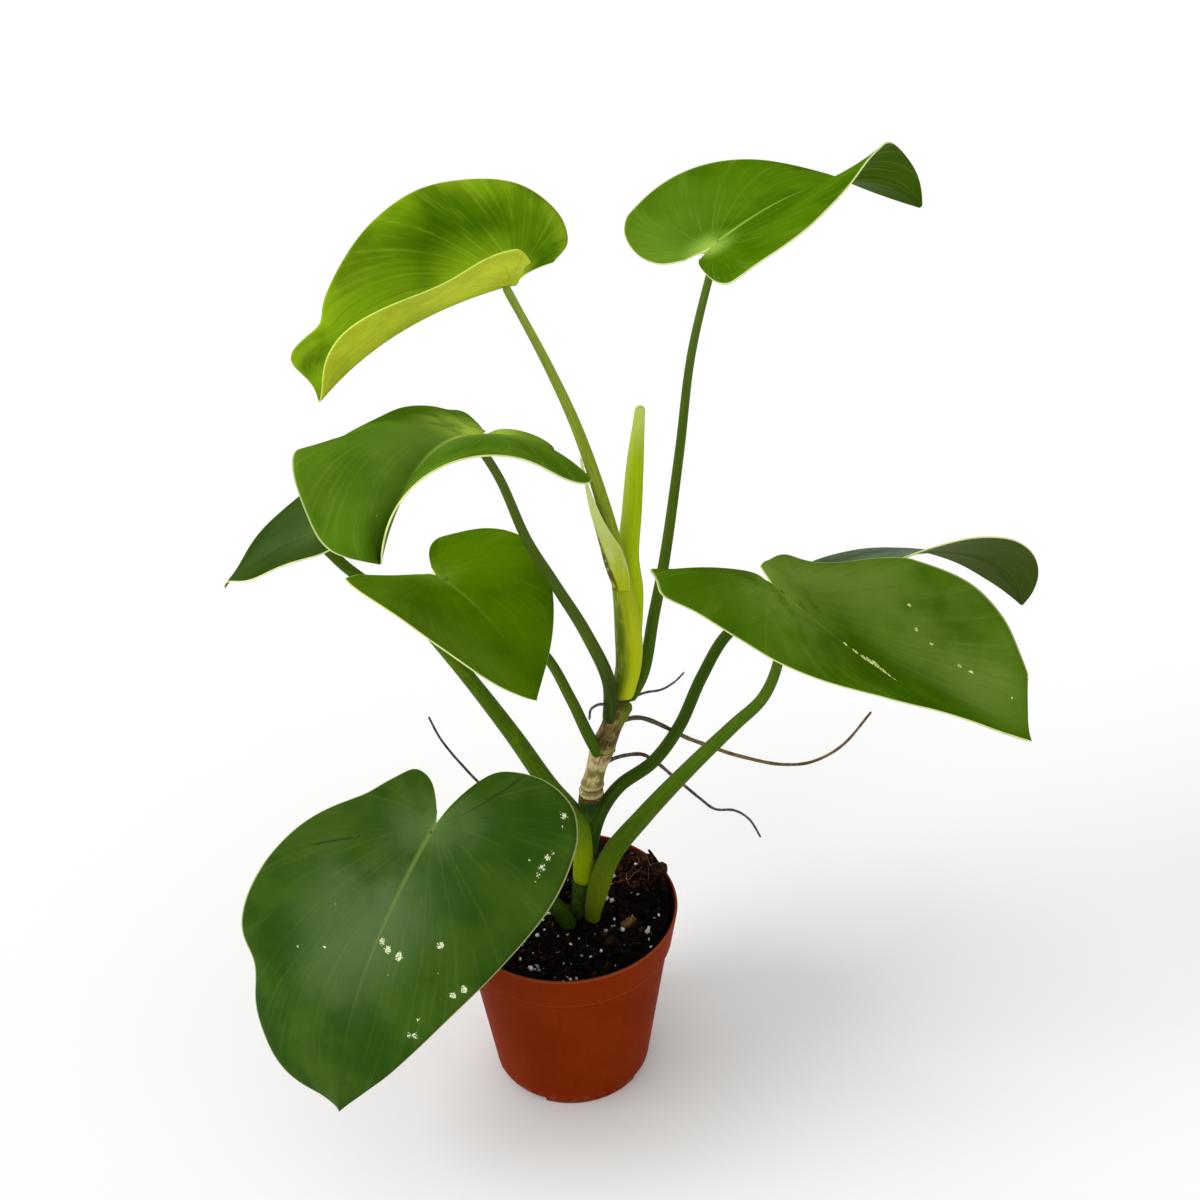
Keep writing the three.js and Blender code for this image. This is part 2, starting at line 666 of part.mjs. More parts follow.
function addPart(name, solid, colour, roughness = 0.6) {
  const material = new THREE.MeshStandardMaterial({ color: colour, roughness, metalness: 0 });
  const mesh = new THREE.Mesh(toGeometry(solid), material);
  mesh.name = name;
  plant.add(mesh);
}

const cleared = (make, entry) => make(entry, SEAT_GAP);
const stemCleared = stationBar(STEM, STEM_STEPS, STEM_SIDES, SEAT_GAP);
const [youngest] = LEAVES;

addPart("pot", pot(), COLOURS.pot, 0.5);

// Petioles are cut in turn, so each one clasps the stem and clears the ones already placed.
const petioles = [];
for (const leaf of LEAVES) {
  const neighbours = [stemCleared, cleared(blade, leaf), ...petioles.map((p) => p.cleared)];
  petioles.push({ leaf, solid: carve(petiole(leaf), neighbours), cleared: cleared(petiole, leaf) });
}
const petiolesCleared = petioles.map((p) => p.cleared);

addPart("stem", stationBar(STEM, STEM_STEPS, STEM_SIDES), COLOURS.cane, 0.7);
const newLeafBar = stationBar(NEW_LEAF, YOUNG_STEPS, STEM_SIDES);
addPart("new_leaf", carve(newLeafBar, [petiolesCleared[0]]), COLOURS.youngGreen, 0.4);
const newLeafCleared = stationBar(NEW_LEAF, YOUNG_STEPS, STEM_SIDES, SEAT_GAP);
addPart("bract", carve(bract(youngest), [newLeafCleared]), COLOURS.cane, 0.8);

for (const { leaf, solid } of petioles) {
  addPart(`${leaf.name}_petiole`, solid, COLOURS.petioleGreen, 0.45);
}
for (const leaf of LEAVES) addPart(`${leaf.name}_blade`, blade(leaf), leaf.colour, 0.4);

ROOTS.forEach((entry, i) => {
  const solid = carve(root(entry), [stemCleared, ...petiolesCleared]);
  addPart(`aerial_root_${i + 1}`, solid, COLOURS.root, 0.85);
});

const planted = [stemCleared, ...petiolesCleared, ...BARK_CHIPS.map((chip) => cleared(barkChip, chip))];
addPart("potting_mix", carve(pottingMix(), planted), COLOURS.mix, 1);
for (const chip of BARK_CHIPS) addPart(chip.name, barkChip(chip), COLOURS.bark, 0.9);

export default plant;
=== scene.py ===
"""A potted philodendron, dressed for its studio picture.

Lengths are millimetres, and they become metres when a mesh is made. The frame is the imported
model's: +Z is up, +X is the plant's right and -Y its front. The leaves, petioles, stem and roots
repeat the model's own lines, so every fine piece lies on the solid that it replaces.
"""

import logging
import math
from dataclasses import dataclass
from enum import Enum
from typing import Callable, Iterable, Sequence

import bmesh
import bpy
import numpy as np
from mathutils import Matrix, Vector, noise


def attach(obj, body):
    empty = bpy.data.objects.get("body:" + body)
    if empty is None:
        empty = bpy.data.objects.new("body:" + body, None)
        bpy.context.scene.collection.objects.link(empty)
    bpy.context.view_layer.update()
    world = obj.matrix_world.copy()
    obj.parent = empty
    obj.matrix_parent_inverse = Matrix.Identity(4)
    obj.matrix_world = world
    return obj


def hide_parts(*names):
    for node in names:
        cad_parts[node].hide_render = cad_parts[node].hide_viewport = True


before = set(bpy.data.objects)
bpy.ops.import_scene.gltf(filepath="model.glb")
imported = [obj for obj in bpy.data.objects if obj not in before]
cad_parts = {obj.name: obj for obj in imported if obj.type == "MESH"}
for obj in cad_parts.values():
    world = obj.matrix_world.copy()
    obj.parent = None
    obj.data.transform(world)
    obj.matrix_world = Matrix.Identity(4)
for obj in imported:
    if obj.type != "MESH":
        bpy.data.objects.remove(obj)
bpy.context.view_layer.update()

Array = np.ndarray
Pair = tuple[float, float]
Point = tuple[float, float, float]
Colour = tuple[int, int, int]
Skin = tuple[Colour, Colour]
Faces = list[tuple[int, ...]]
Socket = bpy.types.NodeSocket
Material = bpy.types.Material
Object = bpy.types.Object
Value = Socket | float | Colour

LOG = logging.getLogger("plant")
MM = 0.001
BODY = "root"


def linear(colour: Colour) -> tuple[float, float, float, float]:
    """A screen colour of 0 to 255 as a linear one.

    Args:
        colour: Red, green and blue as they look on a screen.

    Returns:
        Linear red, green and blue, and an alpha of 1.
    """
    limit, slope, lift, power = 0.04045, 12.92, 0.055, 2.4
    shares = np.array(colour) / 255
    curve = ((shares + lift) / (1 + lift)) ** power
    red, green, blue = np.where(shares <= limit, shares / slope, curve).tolist()
    return red, green, blue, 1.0


def smooth_step(low: float, high: float, value: Array) -> Array:
    """0 below low, 1 above high, and a smooth rise between."""
    share = np.clip((value - low) / (high - low), 0, 1)
    return share * share * (3 - 2 * share)


def roughen(points: Array, size: float, seed: float = 0.0) -> Array:
    """Smooth noise from -1 to 1 at each point.

    Args:
        points: The points, in millimetres.
        size: How wide a lump of the noise is.
        seed: Moves the noise, so that two uses differ.

    Returns:
        One number a point.
    """
    flat = points.reshape(-1, 3) / size + seed
    values = [noise.noise(Vector(point)) for point in flat]
    return np.array(values).reshape(points.shape[:-1])


def unit(vectors: Array) -> Array:
    """The vectors at length 1."""
    return vectors / np.maximum(np.linalg.norm(vectors, axis=-1, keepdims=True), 1e-12)


def hermite(start: Array, end: Array, lead: Array, trail: Array, shares: Array) -> Array:
    """Points of a smooth curve between two ends.

    Args:
        start: The first end.
        end: The last end.
        lead: The slope at the first end.
        trail: The slope at the last end.
        shares: Places on the curve, from 0 to 1.

    Returns:
        One point a share.
    """
    cubic = 2 * start - 2 * end + lead + trail
    square = 3 * end - 3 * start - 2 * lead - trail
    return cubic * shares**3 + square * shares**2 + lead * shares + start


def spline(points: Array, shares: Array) -> Array:
    """Points of a smooth line whose knots are evenly spread over its share.

    Args:
        points: The knots, one a row.
        shares: Places on the line, from 0 to 1.

    Returns:
        One point a share.
    """
    last = len(points) - 1
    place = np.clip(np.asarray(shares, float), 0, 1) * last
    index = np.minimum(place.astype(int), last - 1)
    p0, p1 = points[np.maximum(index - 1, 0)], points[index]
    p2, p3 = points[index + 1], points[np.minimum(index + 2, last)]
    return hermite(p1, p2, (p2 - p0) / 2, (p3 - p1) / 2, (place - index)[..., None])


def arc(radius: float, angles: Iterable[float], centre: Pair = (0.0, 0.0)) -> list[Pair]:
    """The points of a circle at these angles."""
    return [(centre[0] + radius * math.cos(a), centre[1] + radius * math.sin(a)) for a in angles]


def turned_rings(profile: Sequence[Pair], angles: Array) -> Array:
    """Rings of points round the upright axis.

    Args:
        profile: The radius and the height of each ring.
        angles: Where the points of a ring stand, in radians.

    Returns:
        One row of points a ring.
    """
    table = np.array(profile, float)
    radius, height = table[:, :1], table[:, 1:]
    return np.stack([radius * np.cos(angles), radius * np.sin(angles), height + 0 * angles], -1)


class Route:
    """A smooth line through points, read by its share of the length."""

    SPAN_SAMPLES = 40

    def __init__(self, points: Sequence[Point]) -> None:
        """Samples the line.

        Args:
            points: The points it runs through.
        """
        knots = np.array(points, float)
        chain = np.vstack([2 * knots[0] - knots[1], knots, 2 * knots[-1] - knots[-2]])
        t = np.linspace(0, 1, self.SPAN_SAMPLES, endpoint=False)[:, None]
        spans = []
        for p0, p1, p2, p3 in zip(chain, chain[1:], chain[2:], chain[3:]):
            d0, d1, d2 = (np.linalg.norm(b - a) ** 0.5 for a, b in ((p0, p1), (p1, p2), (p2, p3)))
            lead = ((p1 - p0) / d0 - (p2 - p0) / (d0 + d1) + (p2 - p1) / d1) * d1
            trail = ((p2 - p1) / d1 - (p3 - p1) / (d1 + d2) + (p3 - p2) / d2) * d1
            spans.append(hermite(p1, p2, lead, trail, t))
        self.samples = np.vstack([*spans, knots[-1:]])
        steps = np.linalg.norm(np.diff(self.samples, axis=0), axis=1)
        self.reach = np.concatenate([[0.0], np.cumsum(steps)])
        self.length = float(self.reach[-1])

    def at(self, shares: Array) -> Array:
        """The points at these shares of the length."""
        places = np.asarray(shares, float) * self.length
        return np.stack([np.interp(places, self.reach, self.samples[:, k]) for k in range(3)], -1)

    def knot_share(self, shares: Array) -> Array:
        """The share of the knots that is passed at these shares of the length."""
        even = np.linspace(0, 1, len(self.samples))
        return np.interp(np.asarray(shares, float) * self.length, self.reach, even)

    def share_at_height(self, height: float) -> float:
        """The share of the length where a rising line first reaches a height."""
        return float(self.reach[np.argmax(self.samples[:, 2] >= height)] / self.length)


@dataclass
class Surface:
    """Points and faces on their way to becoming a mesh.

    flow holds three numbers a point that the finishes read, and slots one material a face.
    """

    points: Array
    faces: Faces
    flow: Array
    slots: list[int]

    @staticmethod
    def plain(points: Array, faces: Faces, flow: Array | float = 0.0) -> "Surface":
        """A surface of one material, with its own flow or one number for all of it."""
        return Surface(points, faces, np.full(points.shape, flow), [0] * len(faces))

    @staticmethod
    def joined(surfaces: Sequence["Surface"]) -> "Surface":
        """One surface that holds several.

        Args:
            surfaces: The surfaces, in order.

        Returns:
            All of them as one.
        """
        starts = np.cumsum([0] + [len(s.points) for s in surfaces])
        faces = [
            tuple(corner + start for corner in face)
            for s, start in zip(surfaces, starts.tolist())
            for face in s.faces
        ]
        points = np.vstack([s.points for s in surfaces])
        flow = np.vstack([s.flow for s in surfaces])
        return Surface(points, faces, flow, [slot for s in surfaces for slot in s.slots])


def grid_faces(rows: int, columns: int, ring: bool = False) -> Faces:
    """The quads of a grid of points, row by row.

    Args:
        rows: Rows of points.
        columns: Points in a row.
        ring: Whether each row closes on itself.

    Returns:
        Four point numbers a quad.
    """
    faces = []
    for near in range(0, (rows - 1) * columns, columns):
        far = near + columns
        for i in range(columns if ring else columns - 1):
            k = (i + 1) % columns
            faces.append((near + i, near + k, far + k, far + i))
    return faces


def tube_faces(rings: int, sides: int) -> Faces:
    """The faces of a closed tube. The middle points of its two ends come after its rings.

    Args:
        rings: Rings of points.
        sides: Points in a ring.

    Returns:
        The quads of the wall, and then the triangles of the two ends.
    """
    faces = grid_faces(rings, sides, ring=True)
    middle, last = rings * sides, (rings - 1) * sides
    for i in range(sides):
        k = (i + 1) % sides
        faces += [(middle, k, i), (middle + 1, last + i, last + k)]
    return faces


def taken(block: bmesh.types.BMesh) -> tuple[Array, Faces]:
    """The points and faces of a block, which is freed.

    Args:
        block: The block to read.

    Returns:
        Its points, one a row, and its faces.
    """
    points = np.array([v.co[:] for v in block.verts])
    faces = [tuple(v.index for v in face.verts) for face in block.faces]
    block.free()
    return points, faces


def add_object(name: str, data: bpy.types.ID) -> Object:
    """Puts a new object in the scene.

    Args:
        name: The object's name.
        data: Its mesh, camera or light.

    Returns:
        The new object.
    """
    made = bpy.data.objects.new(name, data)
    bpy.context.scene.collection.objects.link(made)
    return made


def make_piece(
    name: str,
    surface: Surface,
    materials: Sequence[Material],
    nodes: Iterable[str] = (),
) -> Object:
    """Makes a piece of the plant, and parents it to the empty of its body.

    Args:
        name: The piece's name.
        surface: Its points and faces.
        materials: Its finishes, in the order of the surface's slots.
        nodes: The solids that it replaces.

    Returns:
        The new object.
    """
    mesh = bpy.data.meshes.new(name)
    mesh.from_pydata((surface.points * MM).tolist(), [], surface.faces)
    mesh.polygons.foreach_set("material_index", surface.slots)
    mesh.polygons.foreach_set("use_smooth", [True] * len(surface.faces))
    flow = mesh.attributes.new("flow", "FLOAT_VECTOR", "POINT")
    flow.data.foreach_set("vector", surface.flow.astype(np.float32).ravel())
    for material in materials:
        mesh.materials.append(material)
    mesh.update()
    piece = add_object(name, mesh)
    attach(piece, BODY)
    if nodes:
        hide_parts(*nodes)
    LOG.info("%s: %d faces", name, len(surface.faces))
    return piece


def dress(node: str, surface: Surface, slot: str, *materials: Material) -> Object:
    """Makes the fine piece that replaces one solid.

    Args:
        node: The solid's node.
        surface: The piece's points and faces.
        slot: Not used.
        materials: Its finishes, in the order of the surface's slots.

    Returns:
        The new object.
    """
    return make_piece(f"{node}_fine", surface, materials, [node])


class Painter:
    """Builds the nodes of one finish."""

    def __init__(self, name: str, roughness: float, specular: float = 0.5) -> None:
        """Starts a finish.

        Args:
            name: The finish's name.
            roughness: How dull it is where nothing else is said.
            specular: How strongly it mirrors.
        """
        self.material = bpy.data.materials.new(name)
        self.material.use_nodes = True
        self.tree = self.material.node_tree
        self.shader = self.tree.nodes["Principled BSDF"]
        self.shader.inputs["Roughness"].default_value = roughness
        self.shader.inputs["Specular IOR Level"].default_value = specular

    def node(self, kind: str, **settings: object) -> bpy.types.Node:
        """A new node with its settings.

        Args:
            kind: Blender's name for the node.
            settings: The node's own settings.

        Returns:
            The node.
        """
        made = self.tree.nodes.new(kind)
        for key, value in settings.items():
            setattr(made, key, value)
        return made

    def feed(self, socket: Socket, value: Value) -> None:
        """Links a socket to another, or sets its number or colour.

        Args:
            socket: The input.
            value: What goes into it.
        """
        if isinstance(value, bpy.types.NodeSocket):
            self.tree.links.new(value, socket)
        elif isinstance(value, tuple):
            socket.default_value = linear(value)
        else:
            socket.default_value = value

    def place(self) -> Socket:
        """The point on the object, in metres."""
        return self.node("ShaderNodeTexCoord").outputs["Object"]

    def normal(self) -> Socket:
        """The direction that the surface faces."""
        return self.node("ShaderNodeNewGeometry").outputs["Normal"]

    def split(self, vector: Socket) -> tuple[Socket, Socket, Socket]:
        """The three parts of a vector.

        Args:
            vector: The vector.

        Returns:
            Its x, y and z.
        """
        parts = self.node("ShaderNodeSeparateXYZ")
        self.feed(parts.inputs[0], vector)
        return parts.outputs[0], parts.outputs[1], parts.outputs[2]

    def flow(self) -> tuple[Socket, Socket, Socket]:
        """The three numbers that the surface carries."""
        return self.split(self.node("ShaderNodeAttribute", attribute_name="flow").outputs["Vector"])

    def maths(self, operation: str, *values: Value) -> Socket:
        """A sum or other function of numbers.

        Args:
            operation: Which function.
            values: Its numbers.

        Returns:
            The result.
        """
        made = self.node("ShaderNodeMath", operation=operation)
        for socket, value in zip(made.inputs, values):
            self.feed(socket, value)
        return made.outputs[0]

    def times(self, first: Value, *others: Value) -> Value:
        """The product of numbers.

        Args:
            first: The first number.
            others: The ones that it is multiplied by.

        Returns:
            The product.
        """
        for other in others:
            first = self.maths("MULTIPLY", first, other)
        return first

    def apart(self, first: Value, second: Value) -> Socket:
        """How far two numbers are apart."""
        return self.maths("ABSOLUTE", self.maths("SUBTRACT", first, second))

    def level(self) -> Value:
        """The height of the point, in millimetres."""
        return self.times(self.split(self.place())[2], 1 / MM)

    def distance(self, at: Point) -> Socket:
        """How far the point is from a place that is given in millimetres, in metres.

        Args:
            at: The place.

        Returns:
            The distance.
        """
        made = self.node("ShaderNodeVectorMath", operation="DISTANCE")
        self.feed(made.inputs[0], self.place())
        made.inputs[1].default_value = tuple(part * MM for part in at)
        return made.outputs["Value"]

    def drawn(self, x: Value, y: Value, slow: float, fast: float) -> Socket:
        """A vector for grain that is drawn out along x: each number times its own rate.

        Args:
            x: The number along the strands.
            y: The number across them.
            slow: The rate of x.
            fast: The rate of y.

        Returns:
            The vector.
        """
        made = self.node("ShaderNodeCombineXYZ")
        for socket, value, rate in zip(made.inputs, (x, y), (slow, fast)):
            self.feed(socket, self.times(value, rate))
        return made.outputs[0]

    def scaled(self, vector: Socket, by: Point) -> Socket:
        """A vector with each part multiplied.

        Args:
            vector: The vector.
            by: What its parts are multiplied by.

        Returns:
            The new vector.
        """
        made = self.node("ShaderNodeVectorMath", operation="MULTIPLY")
        self.feed(made.inputs[0], vector)
        made.inputs[1].default_value = by
        return made.outputs[0]

    def grain(self, size: float, detail: float = 3.0, vector: Socket | None = None) -> Socket:
        """Noise about 0.5 whose lumps are a size wide, in millimetres.

        Args:
            size: How wide a lump is.
            detail: How finely it is broken.
            vector: Where it is read, if not on the object itself.

        Returns:
            The noise, 0 to 1.
        """
        made = self.node("ShaderNodeTexNoise")
        made.inputs["Scale"].default_value = 1 / (size * MM)
        made.inputs["Detail"].default_value = detail
        self.feed(made.inputs["Vector"], vector or self.place())
        return made.outputs["Fac"]

    def specks(self, size: float) -> Socket:
        """The distance to the nearest of the specks that lie a size apart, in millimetres.

        Args:
            size: How far apart the specks are.

        Returns:
            The distance, as a share of that size.
        """
        made = self.node("ShaderNodeTexVoronoi")
        made.inputs["Scale"].default_value = 1 / (size * MM)
        self.feed(made.inputs["Vector"], self.place())
        return made.outputs["Distance"]

    def rise(self, value: Value, low: float, high: float, top: float = 1.0) -> Socket:
        """0 up to low, top from high on, and smooth between. low may be the larger one.

        Args:
            value: The number that is read.
            low: Where the rise starts.
            high: Where it ends.
            top: What it reaches.

        Returns:
            A number from 0 to top.
        """
        made = self.node("ShaderNodeMapRange", interpolation_type="SMOOTHSTEP")
        for socket, number in zip(made.inputs, (value, low, high, 0.0, top)):
            self.feed(socket, number)
        return made.outputs[0]

    def over(self, body: Value, colour: Value, *shares: Value) -> Socket:
        """A colour laid over another one, by the product of its shares.

        Args:
            body: The colour below.
            colour: The colour above.
            shares: How much of the upper one shows, as factors.

        Returns:
            The two colours together.
        """
        made = self.node("ShaderNodeMix", data_type="RGBA")
        inputs = {socket.identifier: socket for socket in made.inputs}
        self.feed(inputs["Factor_Float"], self.times(*shares))
        self.feed(inputs["A_Color"], body)
        self.feed(inputs["B_Color"], colour)
        return next(socket for socket in made.outputs if socket.identifier == "Result_Color")

    def stain(
        self, body: Value, colour: Value, size: float, detail: float, low: float, high: float,
        top: float = 1.0,
    ) -> Socket:
        """A colour laid over another one in patches.

        Args:
            body: The colour below.
            colour: The colour of the patches.
            size: How wide the patches are, in millimetres.
            detail: How finely their edges are broken.
            low: The grain where a patch begins to show.
            high: The grain where it shows in full.
            top: How strong it is there.

        Returns:
            The two colours together.
        """
        return self.over(body, colour, self.rise(self.grain(size, detail), low, high, top))

    def worn(self, size: float, detail: float, middle: float) -> Socket:
        """A roughness that wanders a little about a middle one."""
        return self.maths("MULTIPLY_ADD", self.grain(size, detail), 0.2, middle - 0.1)

    def bump(self, height: Value, depth: float, under: Socket | None = None) -> Socket:
        """A normal raised by a height of 0 to 1, depth millimetres deep.

        Args:
            height: The height.
            depth: How deep it goes.
            under: A normal that it is added to.

        Returns:
            The raised normal.
        """
        made = self.node("ShaderNodeBump")
        made.inputs["Distance"].default_value = depth * MM
        self.feed(made.inputs["Height"], height)
        if under:
            self.feed(made.inputs["Normal"], under)
        return made.outputs[0]

    def done(
        self, colour: Value, roughness: Value | None = None, normal: Socket | None = None
    ) -> Material:
        """Joins the parts to the shader, and gives the finish.

        Args:
            colour: The base colour.
            roughness: The roughness, if it varies.
            normal: The raised normal, if there is one.

        Returns:
            The finish.
        """
        for name, part in (("Base Color", colour), ("Roughness", roughness), ("Normal", normal)):
            if part is not None:
                self.feed(self.shader.inputs[name], part)
        return self.material


@dataclass(frozen=True)
class BladeFinish:
    """The look of one leaf blade.

    face and deep are the two greens of the upper side, back is the underside, vein the midrib and
    the fan of veins. The sheen fields paint a soft grey sheen, a painted highlight, over the upper
    side: its colour, its strength, its middle from the right margin, -1, to the left one, 1, its
    width, and the rows where it fades to the tip; edge_share and tip_share are how much the margin
    and the tip take that painted sheen. gloss is the roughness, shine the mirror, blotch the
    underside's darker share, heart the reach of the pale spot round the sinus, in millimetres, and
    heart_share its strength. vein_share, lateral_share and streak_share say how clear the midrib,
    the side veins and the streaks beside them are. creases are folds along a vein that are painted
    as dark lines of shade: the side, the row and column they start at and those they end at.
    """

    face: Colour
    deep: Colour
    back: Colour
    vein: Colour
    # Painted sheen: a pale colour laid over the upper side as a highlight, and where it lies.
    painted_sheen: Colour = (104, 124, 92)
    painted_sheen_share: float = 0.3
    painted_sheen_at: float = 0.0
    painted_sheen_width: float = 0.8
    vein_share: float = 0.5
    gloss: float = 0.42
    shine: float = 0.012
    blotch: float = 0.12
    heart: float = 18.0
    heart_share: float = 0.45
    lateral_share: float = 0.5
    streak_share: float = 0.12
    painted_sheen_rows: Pair = (0.7, 0.97)
    edge_share: float = 0.0
    tip_share: float = 0.0
    laterals: int = 9
    margin: Colour = (226, 236, 158)
    fleck: Colour = (214, 222, 180)
    # Painted shade: the dark colour laid along the creases, and how strongly.
    crease_shade: Colour = (26, 40, 10)
    crease_shade_share: float = 0.6
    creases: tuple[tuple[float, float, float, float, float], ...] = ()

    def veins(self, painter: Painter, row: Socket, column: Socket) -> tuple[Socket, Socket]:
        """The main laterals, and the fine streaks that run beside them.

        Args:
            painter: The finish that is being built.
            row: The share from the sinus to the tip.
            column: The share from the midrib to the margin.

        Returns:
            The distance to the nearest lateral, 0 to 1, and a noise that is drawn out along them.
        """
        spread = painter.maths("POWER", painter.maths("ADD", column, 0.004), 0.3)
        place = painter.maths("DIVIDE", painter.times(row, float(self.laterals)), spread)
        between = painter.times(painter.maths("PINGPONG", place, 0.5), 2.0)
        return between, painter.grain(150, 4, painter.drawn(place, column, 1.0, 0.25))

    def spots(self, painter: Painter, flecks: Sequence[tuple[Point, float]]) -> Socket:
        """Where the pale scars lie, with ragged edges: 0 off them and 1 on them.

        Args:
            painter: The finish that is being built.
            flecks: The place and size of each scar.

        Returns:
            How much of a scar shows.
        """
        bare_limit, drop, core, soft = 0.8, -0.39, 0.3, 0.06
        found: Value = 0.0
        for at, size in flecks:
            near = painter.rise(painter.distance(at), size * MM, core * size * MM)
            found = painter.maths("MAXIMUM", found, near)
        limit = painter.maths("MULTIPLY_ADD", found, drop, bare_limit)
        powder = painter.maths("SUBTRACT", painter.grain(0.75, 4), limit)
        return painter.rise(powder, 0.0, soft)

    def folded(self, painter: Painter, row: Socket, column: Socket, out: Socket) -> Value:
        """Where the creases run: 0 off them and 1 on them.

        Args:
            painter: The finish that is being built.
            row: The share from the sinus to the tip.
            column: The share from the midrib to the margin.
            out: Millimetres from the midrib.

        Returns:
            How much of a crease shows.
        """
        found: Value = 0.0
        for side, first_row, first, last_row, last in self.creases:
            slope = (last_row - first_row) / (last - first)
            line = painter.maths("MULTIPLY_ADD", column, slope, first_row - slope * first)
            mark = painter.times(
                painter.rise(painter.apart(row, line), 0.006, 0.001),
                painter.rise(column, first, first + 0.15),
                painter.rise(column, last, last - 0.1),
                painter.rise(painter.times(out, side), 0.0, 1.0),
            )
            found = painter.maths("MAXIMUM", found, mark)
        return found

    def upper(self, name: str, sinus: Point, flecks: Sequence[tuple[Point, float]]) -> Material:
        """The finish of the upper side, with its veins, flecks, pale margin, painted sheen and
        painted shade along its creases.

        Args:
            name: The finish's name.
            sinus: Where the midrib starts.
            flecks: The place and size of each pale scar.

        Returns:
            The finish.
        """
        p = Painter(name, self.gloss, self.shine)
        row, column, out = p.flow()
        between, streaks = self.veins(p, row, column)
        body = p.stain(self.face, self.deep, 36, 3, 0.36, 0.64)
        # Painted sheen: soft pale patches over the middle of each half, fading towards the tip.
        signed = p.times(column, p.maths("SIGN", out))
        painted_sheen_patches = p.rise(p.grain(44, 4), 0.25, 0.6, self.painted_sheen_share)
        middle = p.rise(p.apart(signed, self.painted_sheen_at), self.painted_sheen_width, 0.0)
        fade = p.rise(row, self.painted_sheen_rows[1], self.painted_sheen_rows[0])
        body = p.over(body, self.painted_sheen, painted_sheen_patches, middle, fade)
        # Painted sheen on the margin and on the tip as well.
        edge = p.rise(column, 0.72, 0.98, self.edge_share)
        body = p.over(body, self.painted_sheen, edge, p.rise(p.grain(30, 3), 0.3, 0.6))
        tip = p.rise(row, 0.5, 0.95, self.tip_share)
        body = p.over(body, self.painted_sheen, tip, p.rise(p.grain(26, 3), 0.3, 0.55))
        body = p.over(body, self.vein, p.rise(streaks, 0.5, 0.72, self.streak_share))
        body = p.over(body, self.deep, p.rise(streaks, 0.5, 0.3, self.streak_share * 1.3))
        near_rib, near_sinus = p.rise(column, 0.42, 0.02), p.rise(row, 0.6, 0.2, self.lateral_share)
        body = p.over(body, self.vein, p.rise(between, 0.22, 0.0), near_rib, near_sinus)
        rib_width = p.maths("MULTIPLY_ADD", row, -1.7, 2.5)
        from_rib = p.maths("DIVIDE", p.maths("ABSOLUTE", out), rib_width)
        rib = p.rise(from_rib, 1.0, 0.15, self.vein_share * 1.2)
        body = p.over(body, self.vein, rib, p.rise(row, 0.93, 0.35))
        glow = p.rise(p.distance(sinus), self.heart * MM, 0.0, self.heart_share)
        body = p.over(body, self.vein, glow, p.rise(p.grain(12, 4), 0.2, 0.6))
        # Painted shade: dark lines along the creases.
        body = p.over(body, self.crease_shade, self.folded(p, row, column, out), self.crease_shade_share)
        body = p.over(body, self.fleck, self.spots(p, flecks))
        body = p.over(body, self.fleck, p.rise(p.specks(13), 0.03, 0.015, 0.4))
        body = p.over(body, self.margin, p.rise(column, 0.987, 0.997, 0.5))
        relief = p.bump(p.grain(0.9, 4), 0.03, p.bump(streaks, 0.12))
        return p.done(body, p.worn(9, 4, self.gloss), relief)

    def under(self, name: str) -> Material:
        """The finish of the underside, paler, with raised veins.

        Args:
            name: The finish's name.

        Returns:
            The finish.
        """
        p = Painter(name, self.gloss + 0.1, 0.01)
        row, column, out = p.flow()
        between, streaks = self.veins(p, row, column)
        body = p.stain(self.back, self.deep, 20, 4, 0.42, 0.62, self.blotch)
        laterals = p.rise(between, 0.12, 0.0)
        body = p.over(body, self.vein, laterals, p.rise(column, 1.0, 0.1, 0.35))
        body = p.over(body, self.vein, p.rise(streaks, 0.5, 0.72, 0.15))
        rib = p.rise(p.maths("ABSOLUTE", out), 2.2, 0.9, 0.55)
        body = p.over(body, self.vein, rib, p.rise(row, 1.0, 0.5))
        body = p.over(body, self.margin, p.rise(column, 0.991, 0.999, 0.5))
        raised = p.bump(p.rise(between, 0.2, 0.0), 0.2)
        return p.done(body, None, p.bump(streaks, 0.1, raised))

    def rim(self, name: str) -> Material:
        """The finish of the pale, slightly horny margin."""
        p = Painter(name, 0.45, 0.06)
        return p.done(p.stain(self.margin, self.face, 6, 3, 0.5, 0.7, 0.25))


@dataclass(frozen=True)
class LimbFinish:
    """The look of a petiole: its green at the foot, in the middle and under the blade. sheath is
    the share of its length where the foot's colour ends, and shade a painted shade: a darker foot
    colour on the side that faces away from +X."""

    foot: Colour
    middle: Colour
    top: Colour
    streak: Colour
    sheath: float = 0.35
    gloss: float = 0.42
    shade: Colour | None = None

    def material(self, name: str) -> Material:
        """The finish, streaked along the limb.

        Args:
            name: The finish's name.

        Returns:
            The finish.
        """
        p = Painter(name, self.gloss, 0.04)
        along, turn, share = p.flow()
        foot: Value = self.foot
        # Painted shade: a darker foot on the side that faces away from +X.
        if self.shade:
            foot = p.over(self.shade, self.foot, p.rise(p.split(p.normal())[0], -0.6, 0.5))
        body = p.over(foot, self.middle, p.rise(share, self.sheath * 0.3, self.sheath))
        body = p.over(body, self.top, p.rise(share, 0.6, 1.0))
        drawn = p.drawn(along, turn, 0.05, 3.0)
        body = p.over(body, self.streak, p.rise(p.grain(900, 5, drawn), 0.45, 0.7, 0.35))
        body = p.stain(body, self.foot, 7, 4, 0.5, 0.75, 0.2)
        lines = p.bump(p.rise(p.grain(500, 3, drawn), 0.35, 0.65), 0.12)
        return p.done(body, p.worn(5, 3, self.gloss), p.bump(p.grain(1.2, 4), 0.05, lines))


